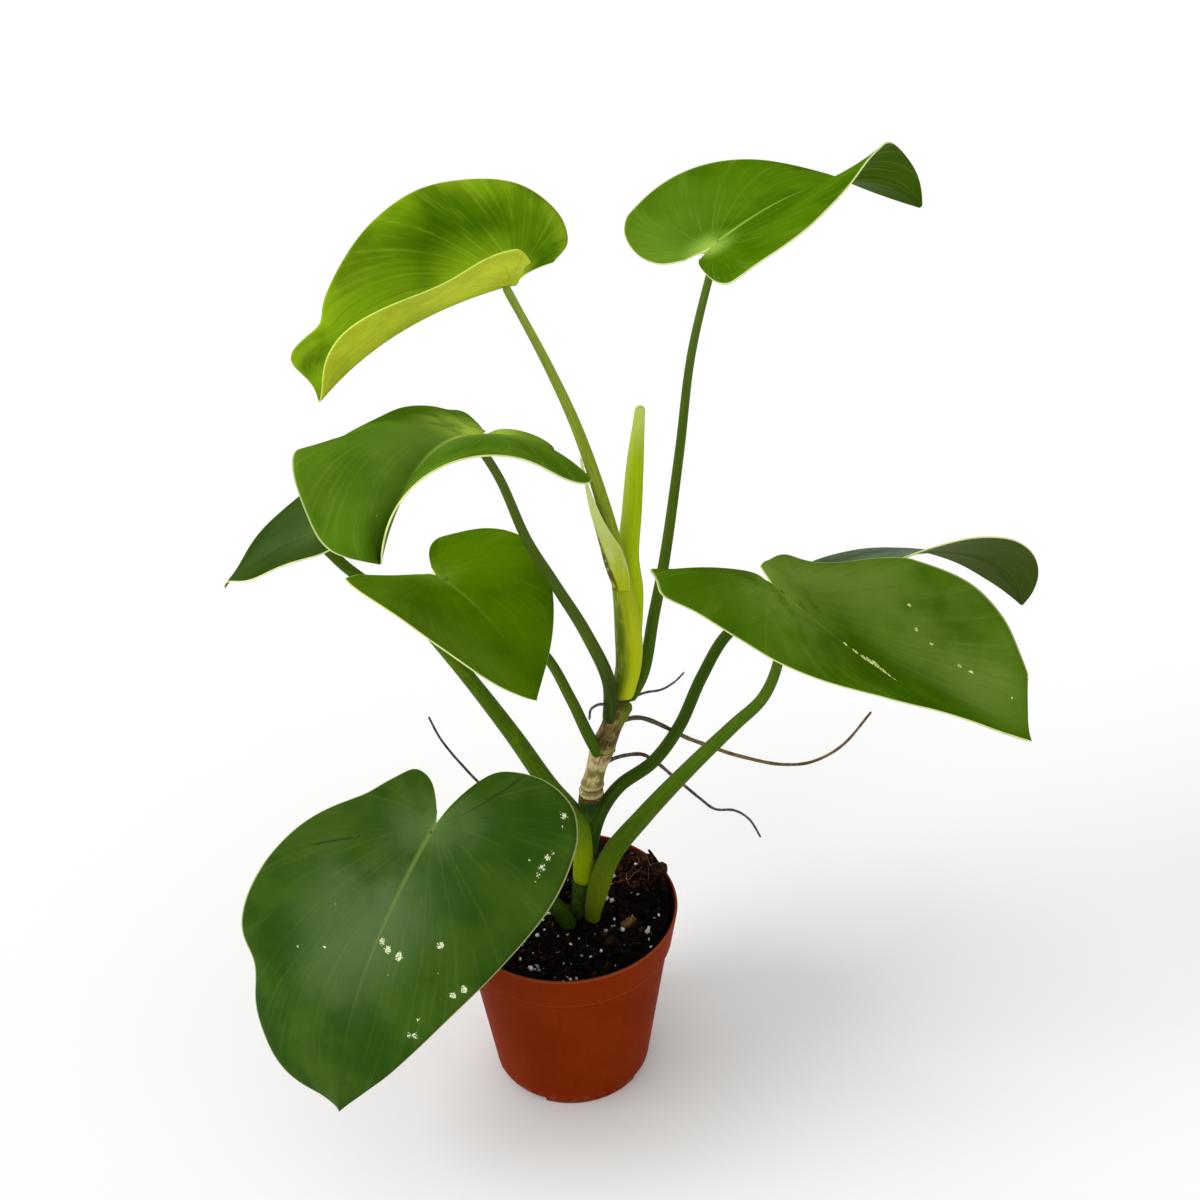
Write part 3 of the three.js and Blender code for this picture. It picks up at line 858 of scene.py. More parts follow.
class Side(Enum):
    """The two sides of a blade, seen along its midrib from the sinus."""

    LEFT = 1
    RIGHT = -1


@dataclass(frozen=True)
class HalfBlade:
    """One side of a blade: its width, its rise from the midrib in degrees at the sinus and added
    by the tip, its change out to the margin, the length of its back lobe, the slant of its veins,
    its margin's ripple, and the margin's lobes and notches: row share, growth and spread."""

    width: float
    fold: float = 0.0
    tip_fold: float = 0.0
    curl: float = 0.0
    lobe: float = 1.0
    lean: float = 0.0
    wave: float = 0.0
    bumps: tuple[Point, ...] = ()


@dataclass(frozen=True)
class Fleck:
    """A pale scar on a blade: how far along the midrib, how far out, left being above 0, and its
    size."""

    along: float
    out: float
    size: float


@dataclass(frozen=True)
class Leaf:
    """One leaf. at is the sinus; heading, pitch and roll turn the blade in degrees, and droop and
    back bend its midrib down to the tip and behind the sinus. petiole is its middle line, sheath
    how much wider its lower part is, and narrow the share by which its very foot is thinner."""

    name: str
    at: Point
    heading: float
    pitch: float
    roll: float
    length: float
    droop: float
    back: float
    left: HalfBlade
    right: HalfBlade
    petiole: tuple[Point, ...]
    base_radius: float
    tip_radius: float
    slots: tuple[str, str]
    finish: BladeFinish
    limb: LimbFinish
    flecks: tuple[Fleck, ...] = ()
    sheath: float = 0.0
    sheath_ends: Pair = (0.15, 0.45)
    narrow: float = 0.0
    taper: float = 1.3

    def petiole_radius(self, share: Array) -> Array:
        """The petiole's radius at a share of its length, with its sheathing foot.

        Args:
            share: The share of the length.

        Returns:
            Millimetres.
        """
        span = self.base_radius - self.tip_radius
        wider = self.sheath * (1 - smooth_step(*self.sheath_ends, share))
        return self.tip_radius + span * (1 - share) ** self.taper + wider


@dataclass(frozen=True)
class BladeShape:
    """Works out where the points of a leaf's blade lie."""

    leaf: Leaf
    outline: tuple[Pair, ...] = (
        (-0.2, 0.09), (-0.285, 0.28), (-0.27, 0.56), (-0.15, 0.83), (0.04, 0.975), (0.24, 1.0),
        (0.45, 0.88), (0.65, 0.655), (0.82, 0.41), (0.93, 0.19), (1.0, 0.0),
    )
    rows: int = 112
    columns: int = 32
    column_power: float = 1.5
    thickness: float = 0.7
    margin_thickness: float = 0.75
    rib: float = 1.7
    rib_half_width: float = 1.5
    groove: float = 0.3
    quilting: float = 0.1
    undulation: float = 0.6
    fan_share: float = 0.3
    fan_length: float = 0.05
    fan_power: float = 1.3
    ripples: int = 3
    lateral_bend: float = 0.45
    lump_size: float = 26.0
    midrib_steps: int = 600

    def half(self, side: Side) -> HalfBlade:
        """The sizes of one side."""
        return self.leaf.left if side is Side.LEFT else self.leaf.right

    def axes(self, along: Array) -> tuple[Array, Array, Array]:
        """The midrib's direction, the blade's sideways direction and its normal.

        Args:
            along: Places on the midrib, in millimetres from the sinus.

        Returns:
            Three unit vectors a place.
        """
        leaf = self.leaf
        share = along / leaf.length
        ahead, behind = np.maximum(share, 0), np.maximum(-share, 0)
        heading, roll = math.radians(leaf.heading), math.radians(leaf.roll)
        pitch = np.radians(leaf.pitch - leaf.droop * ahead**1.5 + leaf.back * behind)
        flat = np.cos(pitch)
        tangent = np.stack([flat * math.cos(heading), flat * math.sin(heading), np.sin(pitch)], -1)
        level = np.array([-math.sin(heading), math.cos(heading), 0.0])
        side = level * math.cos(roll) + np.cross(tangent, level) * math.sin(roll)
        return tangent, side, np.cross(tangent, side)

    def midrib(self, along: Array) -> Array:
        """The points of the midrib at places along it.

        Args:
            along: Millimetres from the sinus.

        Returns:
            One point a place.
        """
        length = self.leaf.length
        ends = np.linspace(-0.5 * length, length, self.midrib_steps + 1)
        tangent, _, _ = self.axes((ends[:-1] + ends[1:]) / 2)
        line = np.vstack([np.zeros(3), np.cumsum(tangent * (ends[1] - ends[0]), axis=0)])
        places = np.concatenate([[0.0], np.ravel(along)])
        found = np.stack([np.interp(places, ends, line[:, k]) for k in range(3)], -1)
        return (found[1:] - found[0] + np.array(self.leaf.at)).reshape(*np.shape(along), 3)

    def bent(self, side: Side, along: Array, out: Array) -> Array:
        """Where points of the flat blade lie once the leaf is folded and curled.

        Args:
            side: Which side of the blade.
            along: Millimetres from the sinus.
            out: Millimetres from the midrib.

        Returns:
            One point a place.
        """
        half = self.half(side)
        _, sideways, normal = self.axes(along)
        share = np.clip(along / self.leaf.length, 0, 1)
        fold = np.radians(half.fold + half.tip_fold * share**2)
        bend = math.radians(half.curl or 0.01) / half.width
        reach = (np.sin(fold + bend * out) - np.sin(fold)) / bend
        lift = (np.cos(fold) - np.cos(fold + bend * out)) / bend
        across, lift = side.value * reach[..., None] * sideways, lift[..., None] * normal
        return self.midrib(along) + across + lift

    def flat(self, side: Side, row: Array, column: Array) -> tuple[Array, Array]:
        """The flat blade's place along the midrib and out from it.

        Args:
            side: Which side of the blade.
            row: The share from the sinus, 0, to the tip, 1.
            column: The share from the midrib, 0, to the margin, 1.

        Returns:
            Millimetres along and out.
        """
        half, length = self.half(side), self.leaf.length
        edge = spline(np.array(self.outline), row)
        ahead, out = edge[..., 0], np.maximum(edge[..., 1], 0)
        ahead = np.where(ahead < 0, ahead * half.lobe, ahead)
        edge_along = (ahead + half.lean * out) * length
        fan = np.minimum(row / self.fan_share, 1) * self.fan_length
        rest = np.maximum((row - self.fan_share) / (1 - self.fan_share), 0) ** self.fan_power
        vein_along = (fan + (1 - self.fan_length) * rest) * length
        bumps = sum(size * np.exp(-(((row - at) / spread) ** 2)) for at, size, spread in half.bumps)
        grown = column * (1 + bumps)
        return vein_along + (edge_along - vein_along) * grown, out * half.width * grown

    def surface(self, side: Side, row: Array, column: Array) -> tuple[Array, Array]:
        """The smooth upper side with its ripple, and its normals.

        Args:
            side: Which side of the blade.
            row: The share from the sinus to the tip.
            column: The share from the midrib to the margin.

        Returns:
            The points and the normals.
        """
        along, out = self.flat(side, row, column)
        step = 0.5
        point = self.bent(side, along, out)
        ahead = self.bent(side, along + step, out) - point
        outward = self.bent(side, along, out + step) - point
        normal = unit(np.cross(ahead, outward) * side.value)
        ripple = self.half(side).wave * np.sin(2 * np.pi * self.ripples * row) * column**3
        return point + normal * ripple[..., None], normal

    def relief(self, row: Array, column: Array, out: Array, point: Array) -> Array:
        """How far the upper side stands off the smooth one: quilting between the veins, a groove
        over the midrib and a slow undulation.

        Args:
            row: The share from the sinus to the tip.
            column: The share from the midrib to the margin.
            out: Millimetres from the midrib.
            point: The points of the smooth side.

        Returns:
            Millimetres along the normal.
        """
        lateral = row * self.leaf.finish.laterals - self.lateral_bend * column**2
        pillow = np.abs(np.sin(np.pi * lateral)) ** 0.7 - 0.6
        calm = smooth_step(0.02, 0.2, column) * (1 - smooth_step(0.8, 1.0, column))
        groove = np.exp(-((out / self.rib_half_width) ** 2)) * (1 - row)
        slow = roughen(point, self.lump_size, len(self.leaf.name) + self.leaf.length)
        slow = slow * smooth_step(0.0, 0.35, column)
        return self.quilting * pillow * calm - self.groove * groove + self.undulation * slow

    def fleck_point(self, fleck: Fleck) -> Point:
        """Where a fleck lies on the upper side."""
        side = Side.LEFT if fleck.out > 0 else Side.RIGHT
        return tuple(self.bent(side, np.array([fleck.along]), np.array([abs(fleck.out)]))[0])

    def mesh(self) -> Surface:
        """The blade as a closed sheet.

        Returns:
            The sheet, with its upper side, underside and rim as slots.
        """
        count = self.columns
        index = np.arange(count, -count - 1, -1)
        sides = np.where(index >= 0, Side.LEFT.value, Side.RIGHT.value)
        column = np.tile((np.abs(index) / count) ** self.column_power, (self.rows + 1, 1))
        row = np.tile(np.arange(self.rows + 1)[:, None] / self.rows, (1, 2 * count + 1))
        left_point, left_normal = self.surface(Side.LEFT, row, column)
        right_point, right_normal = self.surface(Side.RIGHT, row, column)
        on_left = (sides > 0)[None, :, None]
        point = np.where(on_left, left_point, right_point)
        middle = unit(left_normal + right_normal)
        own = np.where(on_left, left_normal, right_normal)
        share = smooth_step(0.0, 0.05, column)[..., None]
        normal = unit(middle[:, count:count + 1] * (1 - share) + own * share)
        _, out_left = self.flat(Side.LEFT, row, column)
        _, out_right = self.flat(Side.RIGHT, row, column)
        out = np.where(on_left[..., 0], out_left, out_right)
        upper = point + normal * self.relief(row, column, out, point)[..., None]
        thick = self.thickness + (self.margin_thickness - self.thickness) * column**4
        thick = thick + self.rib * (1 - row) * np.exp(-((out / self.rib_half_width) ** 2))
        lower = upper - normal * thick[..., None]
        flow = np.stack([row, column, out * sides], -1)
        return self.closed(upper, lower, flow)

    def closed(self, upper: Array, lower: Array, flow: Array) -> Surface:
        """Joins the two sides of the sheet along its rim. The last row is one tip point.

        Args:
            upper: The upper side's points, row by row.
            lower: The lower side's.
            flow: The flow of both.

        Returns:
            The closed sheet.
        """
        rows, columns = upper.shape[0] - 1, upper.shape[1]
        middle, below = columns // 2, rows * columns
        tip = 2 * below
        sheets = [side[:-1].reshape(-1, 3) for side in (upper, lower)]
        points = np.vstack([*sheets, upper[-1, middle], lower[-1, middle]])
        flows = np.vstack([flow[:-1].reshape(-1, 3)] * 2 + [flow[-1, middle]] * 2)
        top = grid_faces(rows, columns)
        last = (rows - 1) * columns
        top += [(last + i, last + i + 1, tip) for i in range(columns - 1)]
        bottom = [tuple((tip + 1 if c == tip else c + below) for c in reversed(f)) for f in top]
        rim = list(range(columns)) + [j * columns + columns - 1 for j in range(1, rows)] + [tip]
        rim += [j * columns for j in range(rows - 1, 0, -1)]
        low = [tip + 1 if c == tip else c + below for c in rim]
        turn = range(len(rim))
        edge = [(rim[(k + 1) % len(rim)], rim[k], low[k], low[(k + 1) % len(rim)]) for k in turn]
        slots = [0] * len(top) + [1] * len(bottom) + [2] * len(edge)
        return Surface(points, top + bottom + edge, flows, slots)


RadiusRule = Callable[[Array, Array], Array]


@dataclass(frozen=True)
class Limb:
    """A round limb along a route.

    radius gives its size at a share of the length and an angle. The angles count from a side that
    is square to first_side, and rounding says how many steps the round ends reach over.
    """

    route: Route
    radius: RadiusRule
    steps: int
    sides: int
    first_side: Point = (0.0, 1.0, 0.15)
    rounding: float = 1.5

    def mesh(self) -> Surface:
        """The limb as a closed tube with rounded ends.

        Returns:
            The tube, whose flow is the millimetres along, the angle and the share.
        """
        shares = np.linspace(0, 1, self.steps + 1)
        centre = self.route.at(shares)
        tangent = unit(np.gradient(centre, axis=0))
        normals = [unit(np.cross(tangent[0], self.first_side))]
        for direction in tangent[1:]:
            normals.append(unit(normals[-1] - direction * (normals[-1] @ direction)))
        normal = np.array(normals)
        binormal = np.cross(tangent, normal)
        angle = np.linspace(0, 2 * np.pi, self.sides, endpoint=False)
        size = self.radius(shares[:, None], angle[None, :])
        round_off = (1 - shares * self.steps / self.rounding).clip(0) ** 2
        round_off = np.sqrt(np.clip(1 - round_off, 0.02, 1))[:, None]
        size = size * round_off * round_off[::-1]
        cosine, sine = np.cos(angle)[:, None], np.sin(angle)[:, None]
        across = cosine * normal[:, None] + sine * binormal[:, None]
        rings = centre[:, None] + across * size[..., None]
        points = np.vstack([rings.reshape(-1, 3), centre[0], centre[-1]])
        along = np.repeat(shares * self.route.length, self.sides)
        flow = np.stack([along, np.tile(angle, len(shares)), along / self.route.length], -1)
        ends = np.array([[0.0, 0.0, 0.0], [self.route.length, 0.0, 1.0]])
        faces = tube_faces(len(shares), self.sides)
        return Surface.plain(points, faces, np.vstack([flow, ends]))


@dataclass(frozen=True)
class Foliage:
    """The leaves with their petioles.

    seat is how far along the midrib a petiole meets its blade. Over the share wrap of its length
    one side of a petiole laps over the other by lap, and a channel with its depth, angle and width
    runs all along it. neck is its swelling under the blade, and foot how far its thin foot reaches.
    """

    leaves: tuple[Leaf, ...]
    seat: float = 5.0
    wrap: float = 0.28
    lap: float = 0.11
    channel: float = 0.07
    channel_at: float = 4.2
    channel_width: float = 0.45
    neck: float = 0.1
    foot: float = 0.16
    petiole_steps: int = 90
    petiole_sides: int = 36

    def petiole_route(self, leaf: Leaf) -> Route:
        """The petiole's middle line, up to its seat under the blade."""
        seat = BladeShape(leaf).midrib(np.array([self.seat]))[0]
        return Route([*leaf.petiole, tuple(seat)])

    def build_blade(self, leaf: Leaf) -> None:
        """Makes a leaf's blade.

        Args:
            leaf: The leaf.
        """
        shape, finish, node = BladeShape(leaf), leaf.finish, f"{leaf.name}_blade"
        flecks = [(shape.fleck_point(fleck), fleck.size) for fleck in leaf.flecks]
        looks = (
            finish.upper(f"{node}_upper", leaf.at, flecks),
            finish.under(f"{node}_under"),
            finish.rim(f"{node}_rim"),
        )
        dress(node, shape.mesh(), leaf.slots[0], *looks)

    def build_petiole(self, leaf: Leaf) -> None:
        """Makes a leaf's petiole: a sheath at its foot, a shallow channel, a slight neck on top.

        Args:
            leaf: The leaf.
        """

        def radius(share: Array, angle: Array) -> Array:
            """The petiole's radius at a share of its length and an angle.

            Args:
                share: The share of the length.
                angle: The angle round the limb.

            Returns:
                Millimetres.
            """
            core = leaf.petiole_radius(share)
            wrapped = 1 - smooth_step(0.0, self.wrap, share)
            overlap = self.lap * wrapped * ((angle / (2 * np.pi) + 0.35) % 1 - 0.5)
            hollow = np.exp(-(((angle - self.channel_at) / self.channel_width) ** 2))
            neck = 1 + self.neck * smooth_step(0.93, 0.98, share)
            foot = 1 - leaf.narrow * (1 - smooth_step(0.0, self.foot, share))
            return core * (1 + overlap - self.channel * hollow) * neck * foot

        route, node = self.petiole_route(leaf), f"{leaf.name}_petiole"
        surface = Limb(route, radius, self.petiole_steps, self.petiole_sides).mesh()
        dress(node, surface, leaf.slots[1], leaf.limb.material(node))

    def build(self) -> None:
        """Makes every leaf."""
        for leaf in self.leaves:
            self.build_petiole(leaf)
            self.build_blade(leaf)


@dataclass(frozen=True)
class Station:
    """A point of a limb's middle line, and its radius there."""

    at: Point
    radius: float


def station_line(stations: Sequence[Station]) -> tuple[Route, Callable[[Array], Array]]:
    """The middle line through stations, and the rule for the radius along it.

    Args:
        stations: The stations, in order.

    Returns:
        The line, and a function that gives radii at shares of its length.
    """
    route = Route([station.at for station in stations])
    radii = np.array([[station.radius] for station in stations])
    return route, lambda share: spline(radii, route.knot_share(share))[..., 0]


@dataclass(frozen=True)
class Stem:
    """The leaning stem with its ringed nodes.

    rings gives the height and the colour of each ring, and the skins start over a span of heights.
    """

    stations: tuple[Station, ...] = (
        Station((8, 3, 64), 5.0), Station((9, 0, 103), 6.4), Station((10, 0, 130), 6.0),
        Station((13, 0, 158), 5.3), Station((15, 0, 180), 6.3), Station((18, 0, 197), 5.2),
        Station((22, 0, 211), 6.2), Station((27, 0, 225), 5.4), Station((32, 0, 239), 6.8),
    )
    rings: tuple[tuple[float, Colour], ...] = (
        (184.0, (204, 188, 132)), (189.0, (204, 188, 132)), (213.0, (150, 148, 52)),
    )
    ring_height: float = 0.55
    ring_width: float = 0.9
    scar_below: float = 1.8
    collar_height: float = 181.5
    paper_from: Pair = (180.0, 184.0)
    husk_from: Pair = (206.0, 218.0)
    fresh_from: Pair = (222.0, 233.0)
    green: Skin = ((38, 64, 12), (66, 96, 20))
    paper: Skin = ((210, 194, 142), (156, 132, 84))
    husk: Skin = ((112, 92, 40), (66, 36, 20))
    fibre: Colour = (96, 66, 38)
    torn: Colour = (176, 152, 104)
    tinge: Colour = (118, 118, 44)
    fresh: Colour = (112, 122, 26)
    collar: Colour = (98, 44, 22)
    scar: Colour = (74, 46, 26)
    steps: int = 220
    sides: int = 48

    def material(self) -> Material:
        """Green at the foot, then papery brown with cracks and pale rings.

        Returns:
            The finish.
        """
        p = Painter("stem_skin", 0.6, 0.08)
        along, turn, _ = p.flow()
        level = p.level()
        fibre = p.grain(700, 6, p.drawn(along, turn, 0.08, 3.0))
        green = p.stain(*self.green, 8, 4, 0.4, 0.65)
        paper = p.stain(*self.paper, 5, 5, 0.4, 0.65)
        paper = p.over(paper, self.fibre, p.rise(fibre, 0.52, 0.68, 0.7))
        paper = p.stain(paper, self.tinge, 10, 3, 0.5, 0.6, 0.8)
        husk = p.over(*self.husk, p.rise(fibre, 0.4, 0.62))
        husk = p.stain(husk, self.torn, 6, 4, 0.52, 0.64, 0.55)
        body = p.over(green, paper, p.rise(level, *self.paper_from))
        body = p.over(body, husk, p.rise(level, *self.husk_from, 0.85))
        front = p.rise(p.split(p.normal())[0], -0.2, 0.4)
        body = p.over(body, self.fresh, p.rise(level, *self.fresh_from), front)
        band = p.rise(p.apart(level, self.collar_height), 2.4, 0.8)
        body = p.over(body, self.collar, band, p.rise(p.grain(2.5, 4), 0.38, 0.55, 0.9))
        for height, tone in self.rings:
            body = p.over(body, tone, p.rise(p.apart(level, height), 1.3, 0.3, 0.75))
            below = p.apart(level, height - self.scar_below)
            body = p.over(body, self.scar, p.rise(below, 0.9, 0.1, 0.7))
        cracks = p.bump(p.rise(fibre, 0.35, 0.6), 0.5)
        return p.done(body, None, p.bump(p.grain(1.5, 5), 0.3, cracks))

    def build(self) -> None:
        """Makes the stem."""
        route, core = station_line(self.stations)
        places = [route.share_at_height(height) for height, _ in self.rings]
        ring_share = self.ring_width / route.length

        def radius(share: Array, angle: Array) -> Array:
            """The stem's radius, raised at its rings and a little fluted.

            Args:
                share: The share of the length.
                angle: The angle round the limb.

            Returns:
                Millimetres.
            """
            size = core(share) - 0.15
            for number, place in enumerate(places):
                away = (share - place + 0.004 * np.sin(angle + 2 * number)) / ring_share
                size = size + self.ring_height * np.exp(-(away**2))
            flutes = 0.1 * np.sin(7 * angle + 9 * share) + 0.07 * np.sin(13 * angle - 25 * share)
            return size + flutes

        dress("stem", Limb(route, radius, self.steps, self.sides).mesh(), "stem", self.material())


@dataclass(frozen=True)
class NewLeaf:
    """The youngest blade, still rolled into a spike, with the lap of its roll running up it."""

    stations: tuple[Station, ...] = (
        Station((39, 3, 270), 3.5), Station((39, 5, 300), 4.8), Station((37, 5, 320), 5.0),
        Station((39, 5, 345), 4.6), Station((41, 5, 370), 3.9), Station((44, 5, 399), 2.4),
    )
    lap: float = 0.13
    twist: float = 1.4
    lap_angle: float = 2.2
    round_from: float = 0.975
    foot: Colour = (176, 200, 10)
    middle: Colour = (154, 182, 6)
    tip: Colour = (206, 222, 120)
    # Painted light: a paler colour on the side that faces away from +X.
    painted_light_side: Colour = (192, 208, 74)
    streak: Colour = (186, 206, 24)
    steps: int = 110
    sides: int = 64

    def material(self) -> Material:
        """Pale yellow-green, greener towards the tip, with painted light on the side that faces
        away from +X.

        Returns:
            The finish.
        """
        p = Painter("new_leaf_skin", 0.4, 0.03)
        along, turn, share = p.flow()
        body = p.over(self.foot, self.middle, p.rise(share, 0.1, 0.75))
        body = p.over(body, self.tip, p.rise(share, 0.78, 1.0, 0.75))
        # Painted light on the side that faces away from +X.
        body = p.over(body, self.painted_light_side, p.rise(p.split(p.normal())[0], 0.1, -0.8, 0.55))
        drawn = p.drawn(along, turn, 0.04, 2.0)
        body = p.over(body, self.streak, p.rise(p.grain(700, 5, drawn), 0.45, 0.7, 0.35))
        return p.done(body, None, p.bump(p.rise(p.grain(260, 3, drawn), 0.4, 0.6), 0.05))

    def build(self) -> None:
        """Makes the spike."""
        route, core = station_line(self.stations)

        def radius(share: Array, angle: Array) -> Array:
            """A round section with the step of the lap on it.

            Args:
                share: The share of the length.
                angle: The angle round the limb.

            Returns:
                Millimetres.
            """
            place = (angle - self.lap_angle - self.twist * share) / (2 * np.pi) % 1
            step = 1 - smooth_step(0.0, 0.9, place) + smooth_step(0.96, 1.0, place)
            end = np.clip((share - self.round_from) / (1.002 - self.round_from), 0, 1)
            return core(share) * (1 - self.lap / 2 + self.lap * step) * np.sqrt(1 - end**2)

        surface = Limb(route, radius, self.steps, self.sides).mesh()
        dress("new_leaf", surface, "new_leaf", self.material())


@dataclass(frozen=True)
class Bract:
    """The papery sheath that crosses the youngest petiole's front, turns to its side and ends in
    a free point."""

    bottom: float = 309.0
    top: float = 378.0
    clearance: float = 0.5
    flare: float = 2.6
    thickness: float = 0.45
    wrap: float = 90.0
    facing: float = 262.0
    turn: float = -55.0
    rows: int = 60
    columns: int = 24
    green: Colour = (176, 190, 16)
    pale: Colour = (206, 218, 128)
    paper: Colour = (206, 210, 150)
    brown: Colour = (66, 48, 18)
    edge: Colour = (226, 232, 160)

    def material(self) -> Material:
        """Thin pale green paper with brown along its edge.

        Returns:
            The finish.
        """
        p = Painter("bract_paper", 0.55, 0.04)
        along, across, share = p.flow()
        body = p.over(self.green, self.pale, p.rise(share, 0.0, 0.75))
        streaks = p.grain(600, 5, p.drawn(along, across, 0.06, 2.4))
        body = p.over(body, self.paper, p.rise(streaks, 0.45, 0.65, 0.6), p.rise(share, 0.0, 0.3))
        side, low = p.rise(across, 0.52, 0.68), p.rise(share, 0.52, 0.38)
        body = p.over(body, self.brown, side, low, p.rise(p.grain(3, 4), 0.3, 0.5, 0.9))
        body = p.over(body, self.edge, p.rise(across, 0.06, 0.0, 0.7))
        return p.done(body, None, p.bump(streaks, 0.2))

    def build(self, leaf: Leaf, route: Route) -> None:
        """Makes the bract round a petiole.

        Args:
            leaf: The leaf whose petiole it wraps.
            route: That petiole's middle line.
        """
        start, end = route.share_at_height(self.bottom), route.share_at_height(self.top)
        row = np.linspace(0, 1, self.rows + 1)[:, None]
        turn = np.linspace(1, -1, self.columns + 1)[None, :]
        half = self.wrap * np.minimum(1, 0.45 + 1.6 * row) * (1 - row**1.4)
        along = start + (end - start) * row
        core = leaf.petiole_radius(along) + self.clearance + self.flare * np.sin(np.pi * row)
        crinkle = 0.25 * np.sin(9 * row + 5 * turn)
        facing = self.facing + self.turn * smooth_step(0.0, 0.6, row)
        angle = np.radians(facing - half * turn)
        outward = np.stack([np.cos(angle), np.sin(angle), np.zeros_like(angle)], -1)
        centre = route.at(along[:, 0])[:, None]
        inner = centre + outward * (core + crinkle)[..., None]
        outer = inner + outward * self.thickness
        share = np.broadcast_to(row, angle.shape)
        across = (turn + 1) / 2 + 0 * share
        flow = np.stack([share * (end - start) * route.length, across, share], -1)
        sheet = BladeShape(leaf).closed(outer, inner, flow)
        surface = Surface.plain(sheet.points, sheet.faces, sheet.flow)
        dress("bract", surface, "bract", self.material())


@dataclass(frozen=True)
class Root:
    """An aerial root: its radius at the stem, the points of its middle line and its skin."""

    radius: float
    points: tuple[Point, ...]
    skin: Skin


@dataclass(frozen=True)
class AerialRoots:
    """The five roots that grow from the stem into the air."""

    roots: tuple[Root, ...]
    taper: float = 0.45
    step: float = 0.9
    sides: int = 14
    olive: Colour = (74, 76, 58)
    tip: Colour = (58, 48, 38)
    flake: Colour = (176, 160, 132)

    def material(self, name: str, skin: Skin) -> Material:
        """Dry root skin, blotched between two colours, with a darker tip.

        Args:
            name: The finish's name.
            skin: Its two colours.

        Returns:
            The finish.
        """
        p = Painter(name, 0.7, 0.08)
        _, _, share = p.flow()
        body = p.stain(*skin, 7, 4, 0.38, 0.62)
        body = p.over(body, self.olive, p.rise(share, 0.4, 0.2, 0.8))
        body = p.over(body, self.tip, p.rise(share, 0.93, 1.0, 0.6))
        body = p.stain(body, self.flake, 1.2, 5, 0.52, 0.7, 0.5)
        return p.done(body, None, p.bump(p.grain(0.8, 5), 0.25))

    def build(self) -> None:
        """Makes the roots."""
        for number, root in enumerate(self.roots, 1):
            route, node = Route(root.points), f"aerial_root_{number}"

            def radius(share: Array, angle: Array) -> Array:
                """The root's radius, a little knobbly.

                Args:
                    share: The share of the length.
                    angle: The angle round the limb.

                Returns:
                    Millimetres.
                """
                size = root.radius * (1 - self.taper * share)
                knobs = 0.07 * np.sin(31 * share + number) * np.sin(83 * share)
                return size * (1 + knobs + 0.04 * np.sin(3 * angle + 40 * share))

            surface = Limb(route, radius, int(route.length / self.step), self.sides).mesh()
            dress(node, surface, "root", self.material(node, root.skin))


